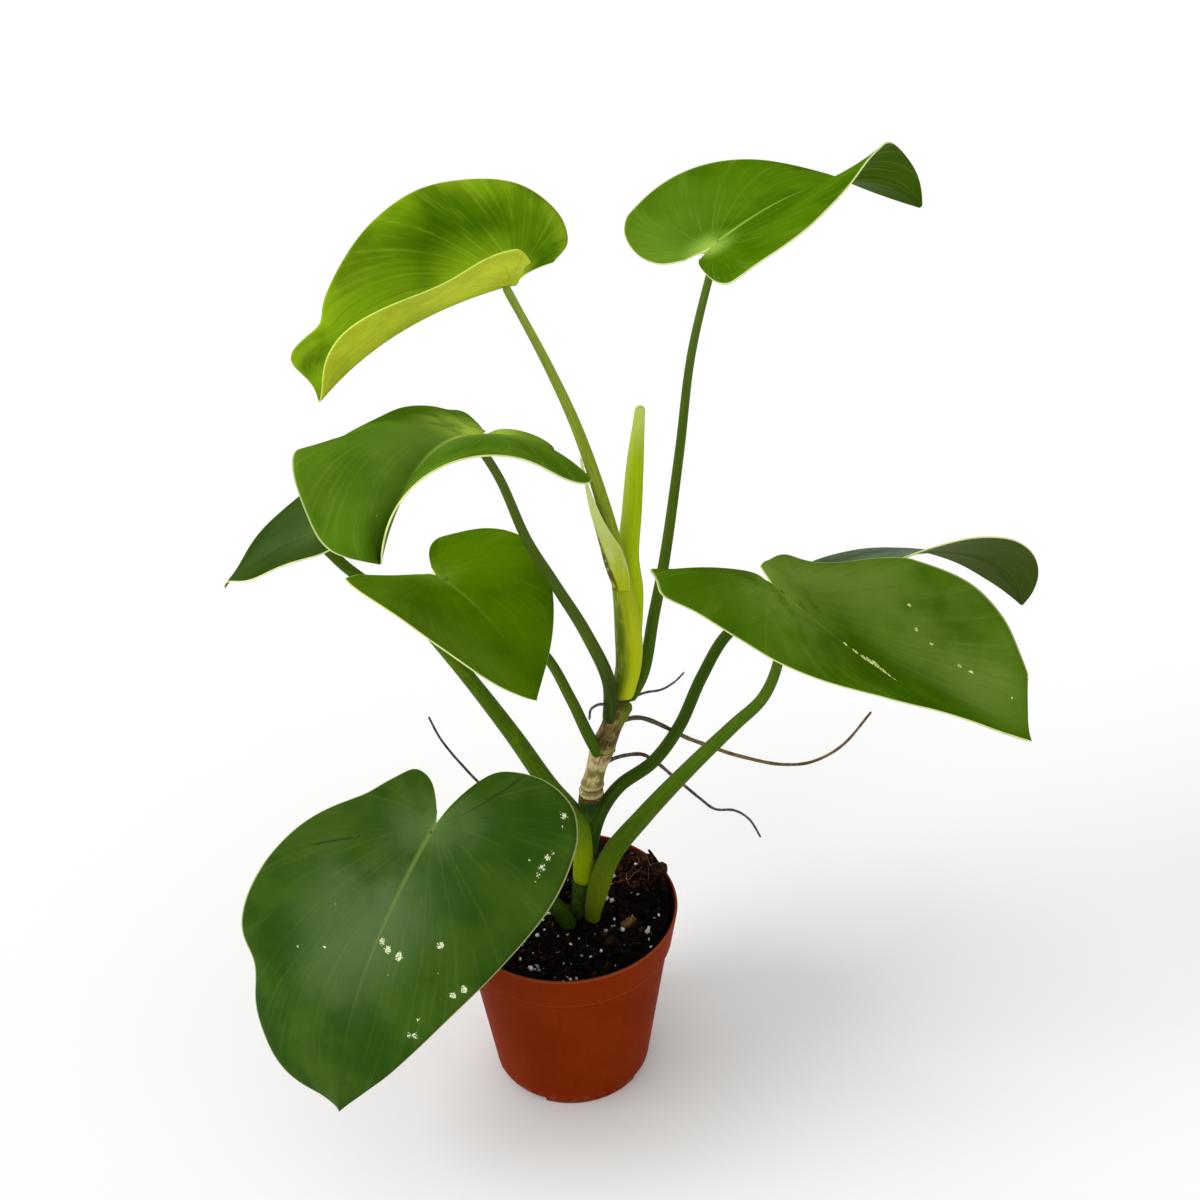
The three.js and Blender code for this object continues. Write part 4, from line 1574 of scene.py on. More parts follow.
@dataclass(frozen=True)
class Pot:
    """The round plastic nursery pot."""

    rim_radius: float = 60.0
    base_radius: float = 43.0
    height: float = 108.0
    band: float = 21.0
    wall: float = 1.6
    step: float = 1.8
    step_rise: float = 0.6
    floor: float = 5.0
    gap_height: float = 3.0
    gap_degrees: float = 48.0
    gap_start: float = -158.0
    feet: int = 3
    foot_disc: float = 26.0
    drain_radius: float = 3.5
    drain_circle: float = 34.0
    segments: int = 176
    sharp_degrees: float = 40.0
    plastic: Skin = ((122, 38, 3), (128, 43, 6))
    scuff: Colour = (146, 70, 40)
    flow_mark: Colour = (96, 28, 4)
    lip: Colour = (176, 92, 58)
    # Painted light: shadow is a painted shadow under the band, edge a painted highlight on the
    # band's foot and inside painted shade on the inner wall.
    shadow: Colour = (66, 16, 0)
    edge: Colour = (156, 66, 30)
    inside: Colour = (52, 18, 16)
    dust: Colour = (150, 112, 90)

    def wall_radius(self, height: float) -> float:
        """The outer radius of the wall below the band."""
        widening = self.rim_radius - self.step - self.base_radius
        return self.base_radius + widening * height / self.height

    def band_inner_radius(self, height: float) -> float:
        """The inner radius of the rim band.

        Args:
            height: The height above the base.

        Returns:
            Millimetres.
        """
        foot = self.height - self.band + self.step_rise
        start = self.wall_radius(self.height - self.band) + self.step - self.wall
        end = self.rim_radius - self.wall
        return start + (end - start) * (height - foot) / (self.height - foot)

    def profile(self) -> list[Pair]:
        """The section of the pot: radius and height, from the middle of the floor and back.

        Returns:
            One radius and height a point.
        """
        foot, half, middle = self.height - self.band, self.wall / 2, 12.0
        wall, top = self.wall_radius(foot), self.height - half
        band = wall + self.step
        turns = np.linspace(0, math.pi / 2, 6)
        corner = [(self.base_radius - 1 + math.sin(a), 1 - math.cos(a)) for a in turns]
        outside = [(self.wall_radius(z), z) for z in np.linspace(4, foot - 1.2, 12)]
        ledge = [
            (wall, foot - 0.3), (wall + 0.35, foot), (band - 0.5, foot + 0.1),
            (band - 0.1, foot + 0.35), (band, foot + self.step_rise + 0.2),
        ]
        outer_band = [
            (band + (self.rim_radius - band) * t, foot + 1 + (top - foot - 1) * t)
            for t in np.linspace(0.1, 1, 8)
        ]
        lip = arc(half, np.linspace(0.3, math.pi, 7), (self.rim_radius - half, top))
        inside = [(self.band_inner_radius(z), z) for z in np.linspace(self.height - 2, foot + 1, 6)]
        heights = [foot - 1, *np.linspace(foot - 6, self.floor + 1, 8)]
        inside += [(self.wall_radius(z) - self.wall, z) for z in heights]
        bottom = [(self.wall_radius(self.floor) - self.wall - 1, self.floor), (middle, self.floor)]
        return [(middle, 0.0), *corner, *outside, *ledge, *outer_band, *lip, *inside, *bottom]

    def turned(self) -> Surface:
        """The pot before its feet are cut: the profile turned round the upright axis.

        Returns:
            The closed shell.
        """
        angles = np.linspace(0, 2 * np.pi, self.segments, endpoint=False)
        rings = turned_rings(self.profile(), angles)
        points = np.vstack([rings.reshape(-1, 3), [0, 0, 0], [0, 0, self.floor]])
        return Surface.plain(points, tube_faces(len(rings), self.segments))

    def prism(self, outline: Sequence[Pair], low: float, high: float) -> Object:
        """A cutter with an upright wall along an outline.

        Args:
            outline: The outline's points.
            low: The height of its foot.
            high: The height of its top.

        Returns:
            The cutter.
        """
        count = len(outline)
        points = [(x * MM, y * MM, z * MM) for z in (low, high) for x, y in outline]
        faces = [tuple(reversed(range(count))), tuple(range(count, 2 * count))]
        mesh = bpy.data.meshes.new("cutter")
        mesh.from_pydata(points, [], faces + grid_faces(2, count, ring=True))
        return add_object("cutter", mesh)

    def cutters(self) -> list[Object]:
        """What is cut away under the pot: a raised stretch between two feet, and its drain hole.

        Returns:
            The cutters.
        """
        made = []
        for i in range(self.feet):
            start = math.radians(self.gap_start + 360 / self.feet * i)
            end = start + math.radians(self.gap_degrees)
            turns = np.linspace(start, end, 14)
            gap = arc(self.base_radius + 5, turns) + arc(self.foot_disc, turns[::-1])
            made.append(self.prism(gap, -1, self.gap_height))
            centre = arc(self.drain_circle, [(start + end) / 2])[0]
            around = np.linspace(0, 2 * math.pi, 28, endpoint=False)
            made.append(self.prism(arc(self.drain_radius, around, centre), -2, 2 * self.floor))
        return made

    def material(self) -> Material:
        """Terracotta-coloured moulded plastic: satin, with faint scuffs, flow marks and dust,
        a painted shadow under the band, a painted highlight on its foot and painted shade on the
        inner wall.

        Returns:
            The finish.
        """
        p = Painter("pot_plastic", 0.45, 0.006)
        body = p.stain(*self.plastic, 45, 3, 0.35, 0.65)
        body = p.stain(body, self.scuff, 2.2, 5, 0.56, 0.72, 0.14)
        streaked = p.scaled(p.place(), (1.0, 1.0, 0.12))
        body = p.over(body, self.flow_mark, p.rise(p.grain(3, 4, streaked), 0.55, 0.75, 0.2))
        level, ledge = p.level(), self.height - self.band
        body = p.over(body, self.lip, p.rise(level, self.height - 1.6, self.height - 0.4, 0.4))
        # Painted shadow on the wall just under the band's ledge.
        below = p.rise(level, ledge - 3.0, ledge - 0.2, 0.8)
        body = p.over(body, self.shadow, below, p.rise(level, ledge + 0.4, ledge))
        # Painted highlight on the foot of the band, just above the ledge.
        above = p.rise(level, ledge + 0.1, ledge + 0.6, 0.35)
        body = p.over(body, self.edge, above, p.rise(level, ledge + 2.2, ledge + 0.8))
        # Painted shade on the inner wall: faces that look inwards are darkened.
        outward = p.node("ShaderNodeVectorMath", operation="DOT_PRODUCT")
        p.feed(outward.inputs[0], p.normal())
        across = 1 / (self.rim_radius * MM)
        p.feed(outward.inputs[1], p.scaled(p.place(), (across, across, 0.0)))
        body = p.over(body, self.inside, p.rise(outward.outputs["Value"], -0.3, -0.7, 0.85))
        low = p.rise(level, 9.0, 0.0, 0.35)
        body = p.over(body, self.dust, low, p.rise(p.grain(4, 4), 0.4, 0.7))
        waves = p.bump(p.grain(30, 2), 0.15)
        return p.done(body, p.worn(6, 5, 0.44), p.bump(p.grain(0.6, 4), 0.03, waves))

    def build(self) -> None:
        """Makes the pot and cuts its feet and drain holes."""
        piece = dress("pot", self.turned(), "pot", self.material())
        cutters = self.cutters()
        for cutter in cutters:
            cut = piece.modifiers.new("cut", "BOOLEAN")
            cut.operation, cut.solver, cut.object = "DIFFERENCE", "EXACT", cutter
        graph = bpy.context.evaluated_depsgraph_get()
        mesh = bpy.data.meshes.new_from_object(piece.evaluated_get(graph))
        piece.modifiers.clear()
        piece.data = mesh
        for cutter in cutters:
            bpy.data.objects.remove(cutter)
        mesh.set_sharp_from_angle(angle=math.radians(self.sharp_degrees))


@dataclass(frozen=True)
class Scatter:
    """Loose grains of one kind in the potting mix: how many, how big, how flat and how ragged they
    are, their two colours and how dull they are, and where they lie."""

    name: str
    slot: str
    count: int
    least: float
    most: float
    flatness: float
    jitter: float
    seed: int
    skin: Skin
    dull: float = 0.8
    centre: Pair = (0.0, 0.0)
    spread: float = 60.0


class Mix(Enum):
    """What lies loose on top of the potting mix."""

    CRUMBS = Scatter(
        "peat_crumbs", "potting_mix", 950, 0.7, 2.6, 0.7, 0.35, 3, ((9, 7, 6), (34, 20, 14))
    )
    PERLITE = Scatter(
        "perlite", "potting_mix", 170, 0.45, 1.9, 0.8, 0.3, 11,
        ((240, 238, 232), (204, 198, 188)), 0.85,
    )
    FLAKES = Scatter(
        "bark_flakes", "bark", 34, 1.2, 3.2, 0.3, 0.3, 17, ((62, 34, 20), (30, 18, 12)), 0.7
    )
    HEAP = Scatter(
        "coir_heap", "bark", 520, 0.5, 2.0, 0.5, 0.4, 29, ((30, 13, 10), (76, 40, 24)),
        centre=(44.0, 24.0), spread=17.0,
    )


@dataclass(frozen=True)
class PottingMix:
    """Black peat and coir with perlite, heaped a little to the back right."""

    pot: Pot
    level: float = 101.0
    slope: float = 0.08
    lowest: float = 91.0
    lump: float = 1.1
    heap: Pair = (49.0, 21.0)
    heap_rise: float = 8.0
    heap_spread: float = 16.0
    gap: float = 0.4
    rings: int = 80
    segments: int = 150
    fibre_count: int = 130
    loose_ends: int = 45
    fibre_seed: int = 23
    fibre_knots: int = 5
    fibre_radius: Pair = (0.1, 0.24)
    fibre_length: Pair = (5.0, 15.0)
    loose_length: Pair = (5.0, 9.0)
    loose_lift: Pair = (0.5, 1.7)
    peat: Skin = ((8, 6, 5), (26, 16, 12))
    peat_fibre: Colour = (44, 25, 16)
    coir: Skin = ((50, 28, 18), (146, 108, 74))

    def top(self, x: Array, y: Array) -> Array:
        """The height of the mix's lumpy top.

        Args:
            x: Millimetres to the right.
            y: Millimetres to the back.

        Returns:
            Millimetres above the pot's base.
        """
        lumps = np.sin(0.31 * x + 1) * np.cos(0.27 * y) + 0.5 * np.sin(0.5 * (x - y))
        away = np.hypot(x - self.heap[0], y - self.heap[1]) / self.heap_spread
        heap = self.heap_rise * np.exp(-(away**2))
        return self.level + self.slope * (x + y) + self.lump * lumps + heap

    def edge(self) -> float:
        """The inner radius of the pot at the mix's lowest edge."""
        return self.pot.band_inner_radius(self.lowest)

    def body(self) -> Surface:
        """The mix as one closed heap that fills the pot.

        Returns:
            The closed heap.
        """
        edge = self.edge() - self.gap
        angles = np.linspace(0, 2 * np.pi, self.segments, endpoint=False)
        radius = (np.linspace(0.01, 1, self.rings) ** 0.8 * edge)[:, None]
        x, y = radius * np.cos(angles), radius * np.sin(angles)
        points = np.stack([x, y, self.top(x, y)], -1)
        rough = 0.9 * roughen(points, 5.5, 4) + 0.6 * roughen(points, 2.2, 9)
        points[..., 2] += rough * (1 - 0.7 * (radius / edge) ** 6)
        pot, foot = self.pot, self.pot.height - self.pot.band
        side = [
            (pot.band_inner_radius(foot + 2) - self.gap, foot + 2),
            (pot.wall_radius(foot - 1) - pot.wall - self.gap, foot - 1),
            (pot.wall_radius(pot.floor) - pot.wall - self.gap, pot.floor + self.gap),
        ]
        rings = np.concatenate([points, turned_rings(side, angles)])
        every = np.vstack([rings.reshape(-1, 3), points[0].mean(0), [0, 0, side[-1][1]]])
        return Surface.plain(every, [face[::-1] for face in tube_faces(len(rings), self.segments)])

    def soil_finish(self) -> Material:
        """Moist black peat with brown fibres showing through.

        Returns:
            The finish.
        """
        p = Painter("peat", 0.8, 0.05)
        body = p.stain(*self.peat, 3, 6, 0.5, 0.7)
        body = p.stain(body, self.peat_fibre, 12, 4, 0.56, 0.7, 0.4)
        return p.done(body, None, p.bump(p.grain(1.2, 6), 0.8))

    def grain_finish(self, facts: Scatter) -> Material:
        """The finish of one kind of loose grain.

        Args:
            facts: The kind of grain.

        Returns:
            The finish.
        """
        p = Painter(facts.name, facts.dull, 0.05)
        own, _, _ = p.flow()
        body = p.over(*facts.skin, p.rise(own, 0.45, 1.0))
        body = p.stain(body, facts.skin[1], 0.9, 5, 0.5, 0.7, 0.6)
        return p.done(body, None, p.bump(p.grain(0.5, 5), 0.3))

    def grains(self, facts: Scatter) -> Surface:
        """Scatters the loose grains of one kind over the mix.

        Args:
            facts: The kind of grain.

        Returns:
            All its grains.
        """
        rng = np.random.default_rng(facts.seed)
        ball = bmesh.new()
        bmesh.ops.create_icosphere(ball, subdivisions=1, radius=1)
        form, faces = taken(ball)
        made, edge = [], self.edge() - facts.most
        spread = min(edge, facts.spread)
        for _ in range(facts.count):
            size = facts.least + (facts.most - facts.least) * rng.random() ** 2.2
            away, angle = spread * math.sqrt(rng.random()), rng.uniform(0, 2 * math.pi)
            x, y = arc(away, [angle], facts.centre)[0]
            inward = min(1.0, edge / math.hypot(x, y))
            x, y = x * inward, y * inward
            lump = form * (1 + facts.jitter * rng.uniform(-1, 1, (len(form), 1)))
            lump = lump * np.array([1, rng.uniform(0.6, 0.95), facts.flatness]) * size
            tilt = Matrix.Rotation(rng.uniform(-0.6, 0.6), 3, "X")
            turn = Matrix.Rotation(angle * 5, 3, "Z") @ tilt
            z = float(self.top(x, y)) + 0.35 * size + rng.uniform(-0.3, 0.5)
            points = lump @ np.array(turn).T + np.array([x, y, z])
            made.append(Surface.plain(points, faces, rng.random()))
        return Surface.joined(made)

    def fibre(self, rng: np.random.Generator, stands: bool) -> Surface:
        """One bent fibre.

        Args:
            rng: Where its place, heading, length and bends are drawn from.
            stands: Whether it stands up from the heap, or else lies on the mix.

        Returns:
            The fibre as a thin limb.
        """
        edge = self.edge() - 6
        spread = self.heap_spread - 2 if stands else edge
        away, angle = spread * math.sqrt(rng.random()), rng.uniform(0, 2 * math.pi)
        heading = rng.uniform(0, 2 * math.pi)
        length = rng.uniform(*(self.loose_length if stands else self.fibre_length))
        centre = (self.heap[0] - 4, self.heap[1]) if stands else (0.0, 0.0)
        x, y = arc(away, [angle], centre)[0]
        lift = rng.uniform(*self.loose_lift) if stands else 0.0
        knots = []
        for k in range(self.fibre_knots):
            inward = edge / max(math.hypot(x, y), edge)
            x, y = x * inward, y * inward
            knots.append((x, y, float(self.top(x, y)) + rng.uniform(0.3, 2.0) + lift * k))
            heading += rng.uniform(-0.6, 0.6)
            x, y = arc(length / (self.fibre_knots - 1), [heading], (x, y))[0]
        size = rng.uniform(*self.fibre_radius)
        surface = Limb(Route(knots), lambda share, _: size * (1.1 - 0.5 * share), 14, 6).mesh()
        surface.flow[:] = rng.random()
        return surface

    def fibres(self) -> Surface:
        """Coir fibres and fine dead roots over the mix. The first ones stand up from the heap.

        Returns:
            All the fibres.
        """
        rng = np.random.default_rng(self.fibre_seed)
        numbers = range(self.fibre_count)
        return Surface.joined([self.fibre(rng, number < self.loose_ends) for number in numbers])

    def fibre_finish(self) -> Material:
        """Brown fibre, some of it pale.

        Returns:
            The finish.
        """
        p = Painter("coir", 0.75, 0.05)
        own, _, _ = p.flow()
        return p.done(p.over(*self.coir, p.rise(own, 0.6, 1.0)))

    def build(self) -> None:
        """Makes the heap and what lies on it."""
        dress("potting_mix", self.body(), "potting_mix", self.soil_finish())
        for kind in Mix:
            facts = kind.value
            make_piece(facts.name, self.grains(facts), [self.grain_finish(facts)])
        make_piece("coir_fibres", self.fibres(), [self.fibre_finish()])


@dataclass(frozen=True)
class BarkPiece:
    """A larger piece of bark: its node, size and place, its turn in degrees and its skin, which
    are its light and its dark colour."""

    node: str
    size: Point
    at: Point
    turn: Point
    skin: Skin
    cuts: int = 14
    crack: Colour = (24, 15, 10)

    def material(self) -> Material:
        """Pine bark, with pale flakes and dark cracks.

        Returns:
            The finish.
        """
        p = Painter(f"{self.node}_skin", 0.8, 0.06)
        body = p.stain(*self.skin, 3, 5, 0.42, 0.62)
        body = p.stain(body, self.crack, 1.2, 5, 0.52, 0.7, 0.7)
        return p.done(body, None, p.bump(p.grain(1.0, 5), 0.5))

    def build(self) -> None:
        """Makes the piece, layered and broken at its edges."""
        block = bmesh.new()
        bmesh.ops.create_cube(block, size=1)
        bmesh.ops.subdivide_edges(block, edges=block.edges[:], cuts=self.cuts, use_grid_fill=True)
        form, faces = taken(block)
        square = np.abs(form).max(axis=1, keepdims=True)
        corner = np.linalg.norm(form, axis=1, keepdims=True) / square / 1.74
        points = form * (1 - 0.3 * corner**3) * np.array(self.size)
        rough = roughen(points, 2.6, len(self.node)) + 0.5 * roughen(points, 1.1, 3)
        layers = 0.18 * np.sign(np.sin(points[:, 2] * 5.5))
        points = points * (1 + 0.08 * rough + 0.04 * layers)[:, None]
        x, y, z = (Matrix.Rotation(math.radians(t), 3, axis) for t, axis in zip(self.turn, "XYZ"))
        points = points @ np.array(x @ y @ z).T + np.array(self.at)
        dress(self.node, Surface.plain(points, faces, 0.4), "bark", self.material())


CHIP_SKIN = ((124, 94, 50), (54, 34, 20))
LUMP_SKIN = ((64, 38, 24), (28, 14, 11))
SPLINTER_SKIN = ((46, 34, 30), (26, 20, 18))
BARK_PIECES = (
    BarkPiece("bark_chip_1", (9.5, 4.8, 3.6), (33, -12, 103.5), (10, -6, 35), CHIP_SKIN),
    BarkPiece("bark_chip_2", (9, 7, 7), (51, 16.5, 115.5), (12, 14, 10), LUMP_SKIN),
    BarkPiece("bark_splinter", (1.7, 1.4, 13.5), (48.3, 25, 117.3), (4, -27, 10), SPLINTER_SKIN),
)


YOUNG = BladeFinish(
    face=(90, 130, 1), deep=(60, 96, 1), back=(218, 228, 58), vein=(176, 206, 60),
    painted_sheen=(164, 202, 30), painted_sheen_share=0.8, painted_sheen_at=0.0, painted_sheen_width=0.6, vein_share=0.4, blotch=0.22,
    lateral_share=0.25, streak_share=0.2, painted_sheen_rows=(0.9, 1.3), edge_share=0.45, tip_share=0.75,
    margin=(206, 226, 96),
)
FRESH = BladeFinish(
    face=(84, 122, 8), deep=(66, 104, 3), back=(60, 86, 3), vein=(156, 192, 76),
    painted_sheen=(112, 148, 48), painted_sheen_share=0.5, painted_sheen_at=0.7, painted_sheen_width=0.7, painted_sheen_rows=(0.3, 0.6),
    vein_share=0.62, heart=17.0, heart_share=0.85, lateral_share=0.3, shine=0.0,
)
MATURE = BladeFinish(
    face=(90, 126, 26), deep=(72, 108, 14), back=(92, 122, 34), vein=(182, 208, 82),
    painted_sheen=(112, 142, 62), painted_sheen_share=0.45, vein_share=0.7, shine=0.0, heart=34.0, heart_share=0.95,
    lateral_share=0.14, streak_share=0.08,
)
SMALL = BladeFinish(
    face=(84, 120, 3), deep=(64, 98, 2), back=(86, 114, 30), vein=(130, 160, 48),
    painted_sheen=(104, 138, 30), painted_sheen_share=0.6, painted_sheen_at=-0.75, painted_sheen_width=0.6, vein_share=0.3,
    lateral_share=0.15, shine=0.0,
)
BROAD = BladeFinish(
    face=(74, 110, 8), deep=(56, 90, 2), back=(84, 112, 34), vein=(136, 164, 66),
    painted_sheen=(116, 144, 56), painted_sheen_share=0.75, painted_sheen_at=0.66, painted_sheen_width=0.58, vein_share=0.25,
    heart=58.0, heart_share=0.5, lateral_share=0.12, painted_sheen_rows=(0.7, 1.0), shine=0.0,
    fleck=(232, 240, 150),
)
OLD = BladeFinish(
    face=(58, 86, 22), deep=(42, 71, 13), back=(64, 82, 22), vein=(112, 140, 66),
    painted_sheen=(96, 120, 76), painted_sheen_share=0.6, painted_sheen_at=-0.1, painted_sheen_width=0.75, vein_share=0.5, heart=26.0,
    heart_share=0.3, lateral_share=0.1, streak_share=0.09, painted_sheen_rows=(0.55, 0.88),
    creases=((1.0, 0.192, 0.24, 0.155, 0.98), (-1.0, 0.322, 0.41, 0.355, 0.79)),
)
FAR = BladeFinish(
    face=(56, 80, 28), deep=(46, 70, 20), back=(64, 82, 22), vein=(86, 112, 50),
    painted_sheen=(82, 106, 58), painted_sheen_share=0.4, vein_share=0.25, shine=0.0, lateral_share=0.12,
)

YOUNG_LIMB = LimbFinish(
    (184, 196, 4), (126, 148, 38), (146, 168, 66), (190, 202, 66), 0.5, shade=(86, 106, 14),
)
GREEN_LIMB = LimbFinish((64, 94, 8), (74, 98, 18), (90, 116, 36), (96, 124, 34))
OLIVE_LIMB = LimbFinish((48, 66, 12), (74, 96, 24), (90, 110, 36), (98, 118, 42))
DARK_LIMB = LimbFinish((44, 70, 10), (56, 84, 8), (74, 102, 20), (82, 110, 26))
SHEATH_LIMB = LimbFinish((142, 164, 8), (70, 100, 10), (78, 106, 14), (100, 128, 28), 0.2)
BROAD_LIMB = LimbFinish((104, 118, 16), (66, 96, 6), (76, 106, 14), (96, 122, 24), 0.3)

LEAVES = (
    Leaf(
        "leaf_1", (-10, 0, 462), -149, -4, -9, 102, 37, 63,
        HalfBlade(37, 53, 30, -5, 0.2, 0.09, 2.2, ((0.5, -0.16, 0.1),)),
        HalfBlade(54, 31, 21, 0, 1.04, -0.06, 0, ((0.795, -0.07, 0.025), (0.88, 0.5, 0.05))),
        ((32, 0, 242), (36, 0, 262), (36, -1, 285), (34, -3, 308), (29, -3, 339), (16, -5, 390),
         (3, -4, 424)),
        5.4, 1.7, ("blade_young", "petiole_young"), YOUNG, YOUNG_LIMB, sheath=2.0, narrow=0.2,
    ),
    Leaf(
        "leaf_2", (77.5, 40, 460), 35, 21, -4, 142, 64, 17,
        HalfBlade(50, -4, -20, 42, 0.41, -0.07, 0),
        HalfBlade(47, 9, 94, -3, 0.28, -0.11, 1.7, ((0.8, -0.08, 0.08),)),
        ((35, 2, 238), (43, 7, 251), (49, 12, 281), (55, 19, 310), (63, 31, 362), (69, 37, 410)),
        3.3, 1.8, ("blade_fresh", "petiole"), FRESH, GREEN_LIMB,
    ),
    Leaf(
        "leaf_3", (-27.5, -40, 408), -111, 25, -7, 104, 80, -61,
        HalfBlade(59, 25, 78, -66, 0, -0.02, 2.3, ((0.14, 0.4, 0.05),)),
        HalfBlade(46, 15, 34, -45, 1.48, 0.4, -5.5,
                  ((0, -0.6, 0.03), (0.06, -0.15, 0.03), (0.15, 0.25, 0.03), (0.3, -0.07, 0.05))),
        ((26, -2, 229), (26, -9, 258), (16, -15, 290), (2, -25, 325), (-9, -32, 352),
         (-19, -38, 386)),
        3.7, 1.9, ("blade", "petiole"), MATURE, OLIVE_LIMB,
    ),
    Leaf(
        "leaf_4", (-119, 60, 309), 152, -28, 0, 86, 20, 30,
        HalfBlade(36, -5, 0, 0, 1, -0.1, 1), HalfBlade(50, 20, 0, 0, 1, 0, 1),
        ((10, -4, 126), (9, -4, 165), (-7, 8, 183), (-25, 20, 208), (-54, 36, 245), (-72, 44, 265),
         (-107, 56, 290)),
        6.0, 2.8, ("blade_old", "petiole"), FAR, SHEATH_LIMB,
    ),
    Leaf(
        "leaf_5", (-54.5, -1, 317), -49, -3, -2, 85, 60, 14,
        HalfBlade(52, 8, -26, -11, 0.77, -0.11, 0.3, ((0, -0.52, 0.04), (0.12, 0.1, 0.05))),
        HalfBlade(55, 9, 7, 20, 0.19, -0.02, -0.4, ((0, -0.42, 0.04), (0.22, 0.13, 0.06))),
        ((21, -1, 206), (15, -7, 225), (7, -9, 249), (-5, -8, 275), (-30, -5, 299)),
        3.3, 1.9, ("blade", "petiole"), SMALL, GREEN_LIMB,
    ),
    Leaf(
        "leaf_6", (-60, -50, 206), -134.5, -43.5, -16, 161, 42, 0,
        HalfBlade(71, 14.5, -18, -38, 0.66, -0.17, 2.6, ((0, -0.76, 0.04),)),
        HalfBlade(73, 10, -18, -10, 0.68, 0.35, 2.5,
                  ((0, -0.67, 0.03), (0.09, 0.12, 0.04), (0.21, -0.09, 0.05), (0.56, -0.1, 0.06))),
        ((4, -5, 90), (-3, -9, 110), (-20, -22, 145), (-42, -38, 184)),
        5.0, 2.8, ("blade_old", "petiole"), OLD, DARK_LIMB,
        (Fleck(-39, 53, 2.5), Fleck(-35, 53, 2), Fleck(-34, 56, 3), Fleck(-29, 58, 1.4),
         Fleck(-25, 61, 1.6), Fleck(-21, 64, 1.4), Fleck(-16, 60, 3), Fleck(-13, 59, 3.6),
         Fleck(-8, 59, 4), Fleck(-4, 59, 3.2), Fleck(-1, 60, 2.4), Fleck(-8, 52, 2),
         Fleck(-6, 69, 1.8), Fleck(62, 3, 3), Fleck(64, 8, 3.4), Fleck(64, 15, 4),
         Fleck(49, 32, 3.4), Fleck(64, 51, 3.4), Fleck(69, 47, 2.8), Fleck(97, 36, 3.6),
         Fleck(98, 33, 3), Fleck(88, 35, 2), Fleck(120, 30, 2), Fleck(84, -38, 1.5),
         Fleck(78, -24, 1.4)),
    ),
    Leaf(
        "leaf_7", (100, -50, 336), -9.5, -44, 2.5, 144, -29, 29,
        HalfBlade(87, -14, 3, 50, 0.46, 0.49, 1,
                  ((0.03, 0.1, 0.03), (0.12, 0.14, 0.04), (0.24, -0.1, 0.07))),
        HalfBlade(55, 17, 39, -42, 0, -0.45, 1.5,
                  ((0.2, 0.11, 0.06), (0.33, -0.06, 0.06), (0.45, 0.06, 0.03))),
        ((13, -5, 92), (15, -8, 113), (24, -13, 150), (42, -19, 182), (65, -27, 218),
         (85, -35, 248), (98, -41, 268), (104, -45, 290), (105, -48, 316)),
        6.8, 2.0, ("blade", "petiole"), BROAD, BROAD_LIMB,
        (Fleck(45, 1, 2.6), Fleck(51, 1, 3), Fleck(56, 1, 3.6), Fleck(59, 2, 4),
         Fleck(63, 3, 4.6), Fleck(67, 1, 4), Fleck(70, 0, 3.4), Fleck(73, -1, 3.2),
         Fleck(77, 60, 1.8), Fleck(84, 49, 1.8), Fleck(93, 45, 1.6), Fleck(115, 38, 2.2),
         Fleck(109, 39, 1.8), Fleck(136, 30, 1.8)),
        narrow=0.45,
    ),
    Leaf(
        "leaf_8", (141.5, 53, 278), 18, 11, -25, 138, 80, -20,
        HalfBlade(50), HalfBlade(48, 0, 34, 12),
        ((12, -3, 128), (14, -5, 150), (20, -2, 171), (30, 3, 184), (48, 10, 194), (62, 17, 211),
         (74, 25, 236), (88, 33, 257), (109, 42, 266), (137.5, 51, 267)),
        3.9, 2.7, ("blade_old", "petiole"), OLD, DARK_LIMB,
    ),
)

TAN = ((126, 104, 66), (96, 74, 50))
GREY = ((70, 66, 60), (92, 86, 76))
SLATE = ((46, 48, 50), (84, 84, 86))
ROOTS = (
    Root(1.3, ((28, 1, 226), (41, 9, 223), (69, 27, 195), (97, 40, 173), (121, 49, 160),
               (138, 56, 156), (155, 62, 162), (171, 67, 181)), TAN),
    Root(0.8, ((33, 1, 239), (44, 8, 239), (53, 12, 238), (60, 16, 240), (65, 20, 243)), GREY),
    Root(1.1, ((18, 1, 198), (28, 6, 200), (41, 13, 197), (49, 20, 187), (60, 26, 171),
               (74, 33, 151), (83, 38, 139), (94, 44, 133), (103, 48, 123), (110, 50, 108)), GREY),
    Root(1.0, ((11, 2, 140), (-4, 12, 143), (-22, 18, 155), (-40, 19, 172), (-53, 14, 195),
               (-61, 12, 211), (-66, 10, 227)), GREY),
    Root(1.0, ((29, -2, 233), (25, -7, 242), (21, -11, 246), (17, -12, 244), (16, -13, 238)),
         SLATE),
)


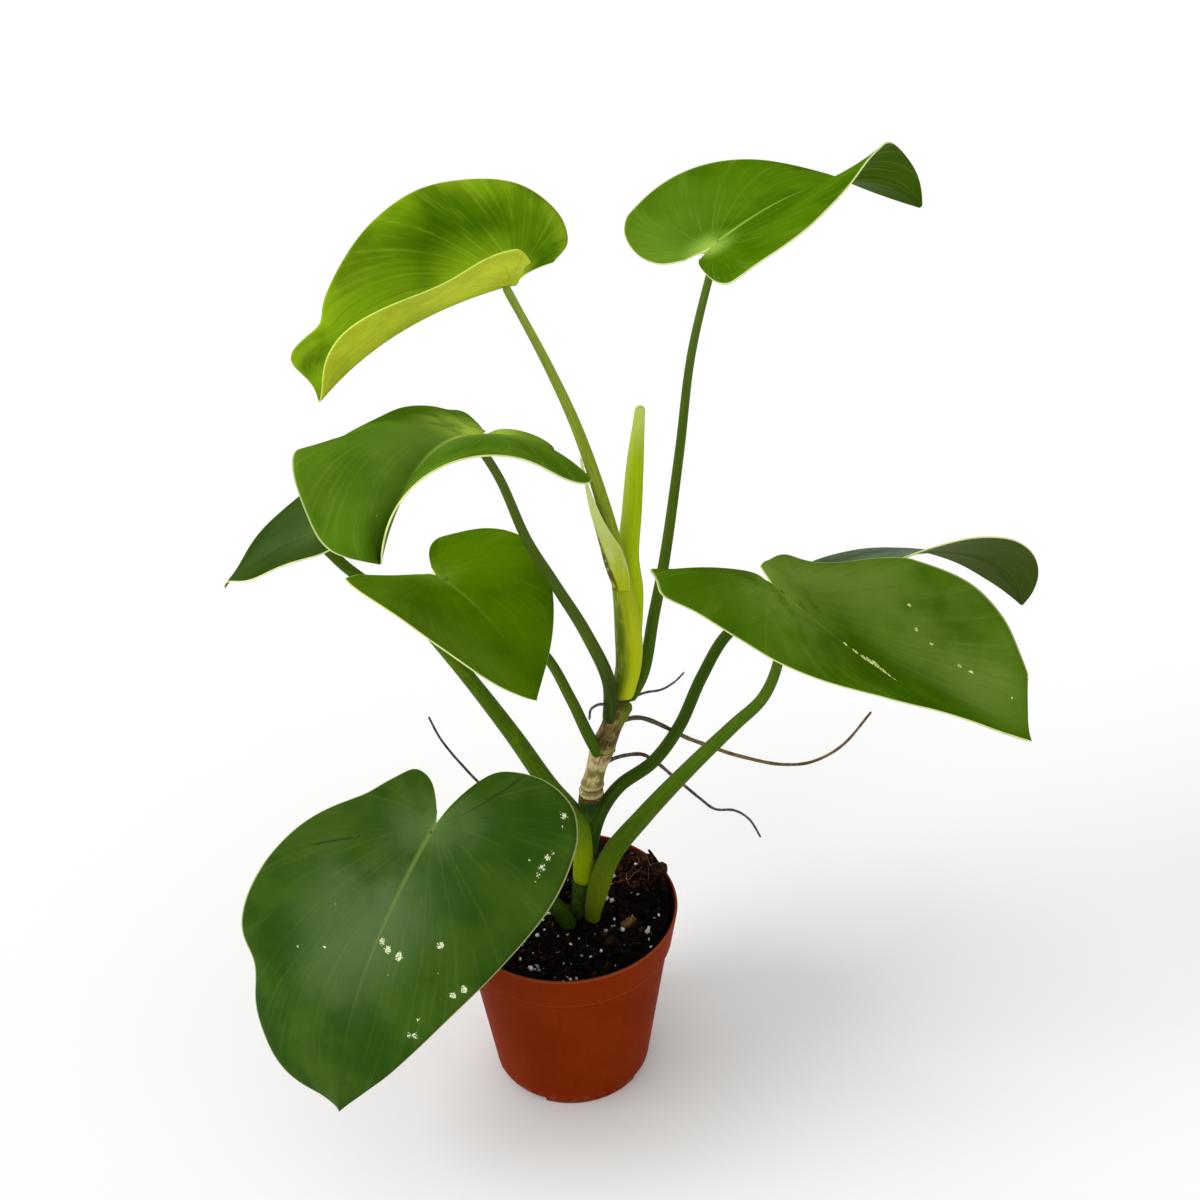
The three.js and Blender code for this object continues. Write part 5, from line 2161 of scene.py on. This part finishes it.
@dataclass(frozen=True)
class Studio:
    """The camera, the pale floor and the light of the picture."""

    camera_at: Point = (23.0, -683.0, 718.0)
    camera_down: float = 31.5
    camera_roll: float = -1.71
    lens: float = 50.0
    sensor: float = 36.0
    floor_half: float = 9000.0
    floor_tone: Colour = (251, 251, 251)
    sky: float = 0.77
    key_from: Point = (-0.78, -0.25, 0.57)
    key_spread: float = 34.0
    key_strength: float = 1.6

    def camera(self) -> None:
        """Stands the camera where the picture was taken from."""
        data = bpy.data.cameras.new("camera")
        data.lens, data.sensor_width = self.lens, self.sensor
        camera = add_object("camera", data)
        pitch, roll = math.radians(self.camera_down), math.radians(self.camera_roll)
        forward = Vector((0, math.cos(pitch), -math.sin(pitch)))
        right, up = Vector((1, 0, 0)), Vector((0, math.sin(pitch), math.cos(pitch)))
        x = right * math.cos(roll) + up * math.sin(roll)
        y = up * math.cos(roll) - right * math.sin(roll)
        turn = Matrix((x, y, -forward)).transposed().to_4x4()
        camera.matrix_world = Matrix.Translation(Vector(self.camera_at) * MM) @ turn
        bpy.context.scene.camera = camera

    def floor(self) -> None:
        """Lays the pale floor."""
        half = self.floor_half * MM
        corners = [(-half, -half, 0), (half, -half, 0), (half, half, 0), (-half, half, 0)]
        mesh = bpy.data.meshes.new("floor")
        mesh.from_pydata(corners, [], [(0, 1, 2, 3)])
        mesh.materials.append(Painter("floor_paint", 0.9, 0.0).done(self.floor_tone))
        floor = add_object("floor", mesh)

    def light(self) -> None:
        """Sets a bright even sky, and one large soft lamp on the left."""
        world = bpy.data.worlds.new("studio")
        world.use_nodes = True
        colour, strength = world.node_tree.nodes["Background"].inputs[:2]
        colour.default_value, strength.default_value = (1, 1, 1, 1), self.sky
        bpy.context.scene.world = world
        bpy.context.scene.view_settings.view_transform = "Standard"
        data = bpy.data.lights.new("key", "SUN")
        data.angle, data.energy = math.radians(self.key_spread), self.key_strength
        lamp = add_object("key", data)
        lamp.rotation_euler = (-Vector(self.key_from)).to_track_quat("-Z", "Y").to_euler()

    def build(self) -> None:
        """Makes the studio."""
        self.camera()
        self.floor()
        self.light()


def write_size() -> None:
    """Updates the view layer."""
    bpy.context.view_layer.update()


def main() -> None:
    """Builds the plant from the pot up, and then the studio."""
    logging.basicConfig(level=logging.INFO, format="%(message)s")
    pot = Pot()
    pot.build()
    PottingMix(pot).build()
    for piece in BARK_PIECES:
        piece.build()
    Stem().build()
    foliage = Foliage(LEAVES)
    foliage.build()
    NewLeaf().build()
    Bract().build(LEAVES[0], foliage.petiole_route(LEAVES[0]))
    AerialRoots(ROOTS).build()
    Studio().build()
    write_size()


if __name__ == "__main__":
    main()
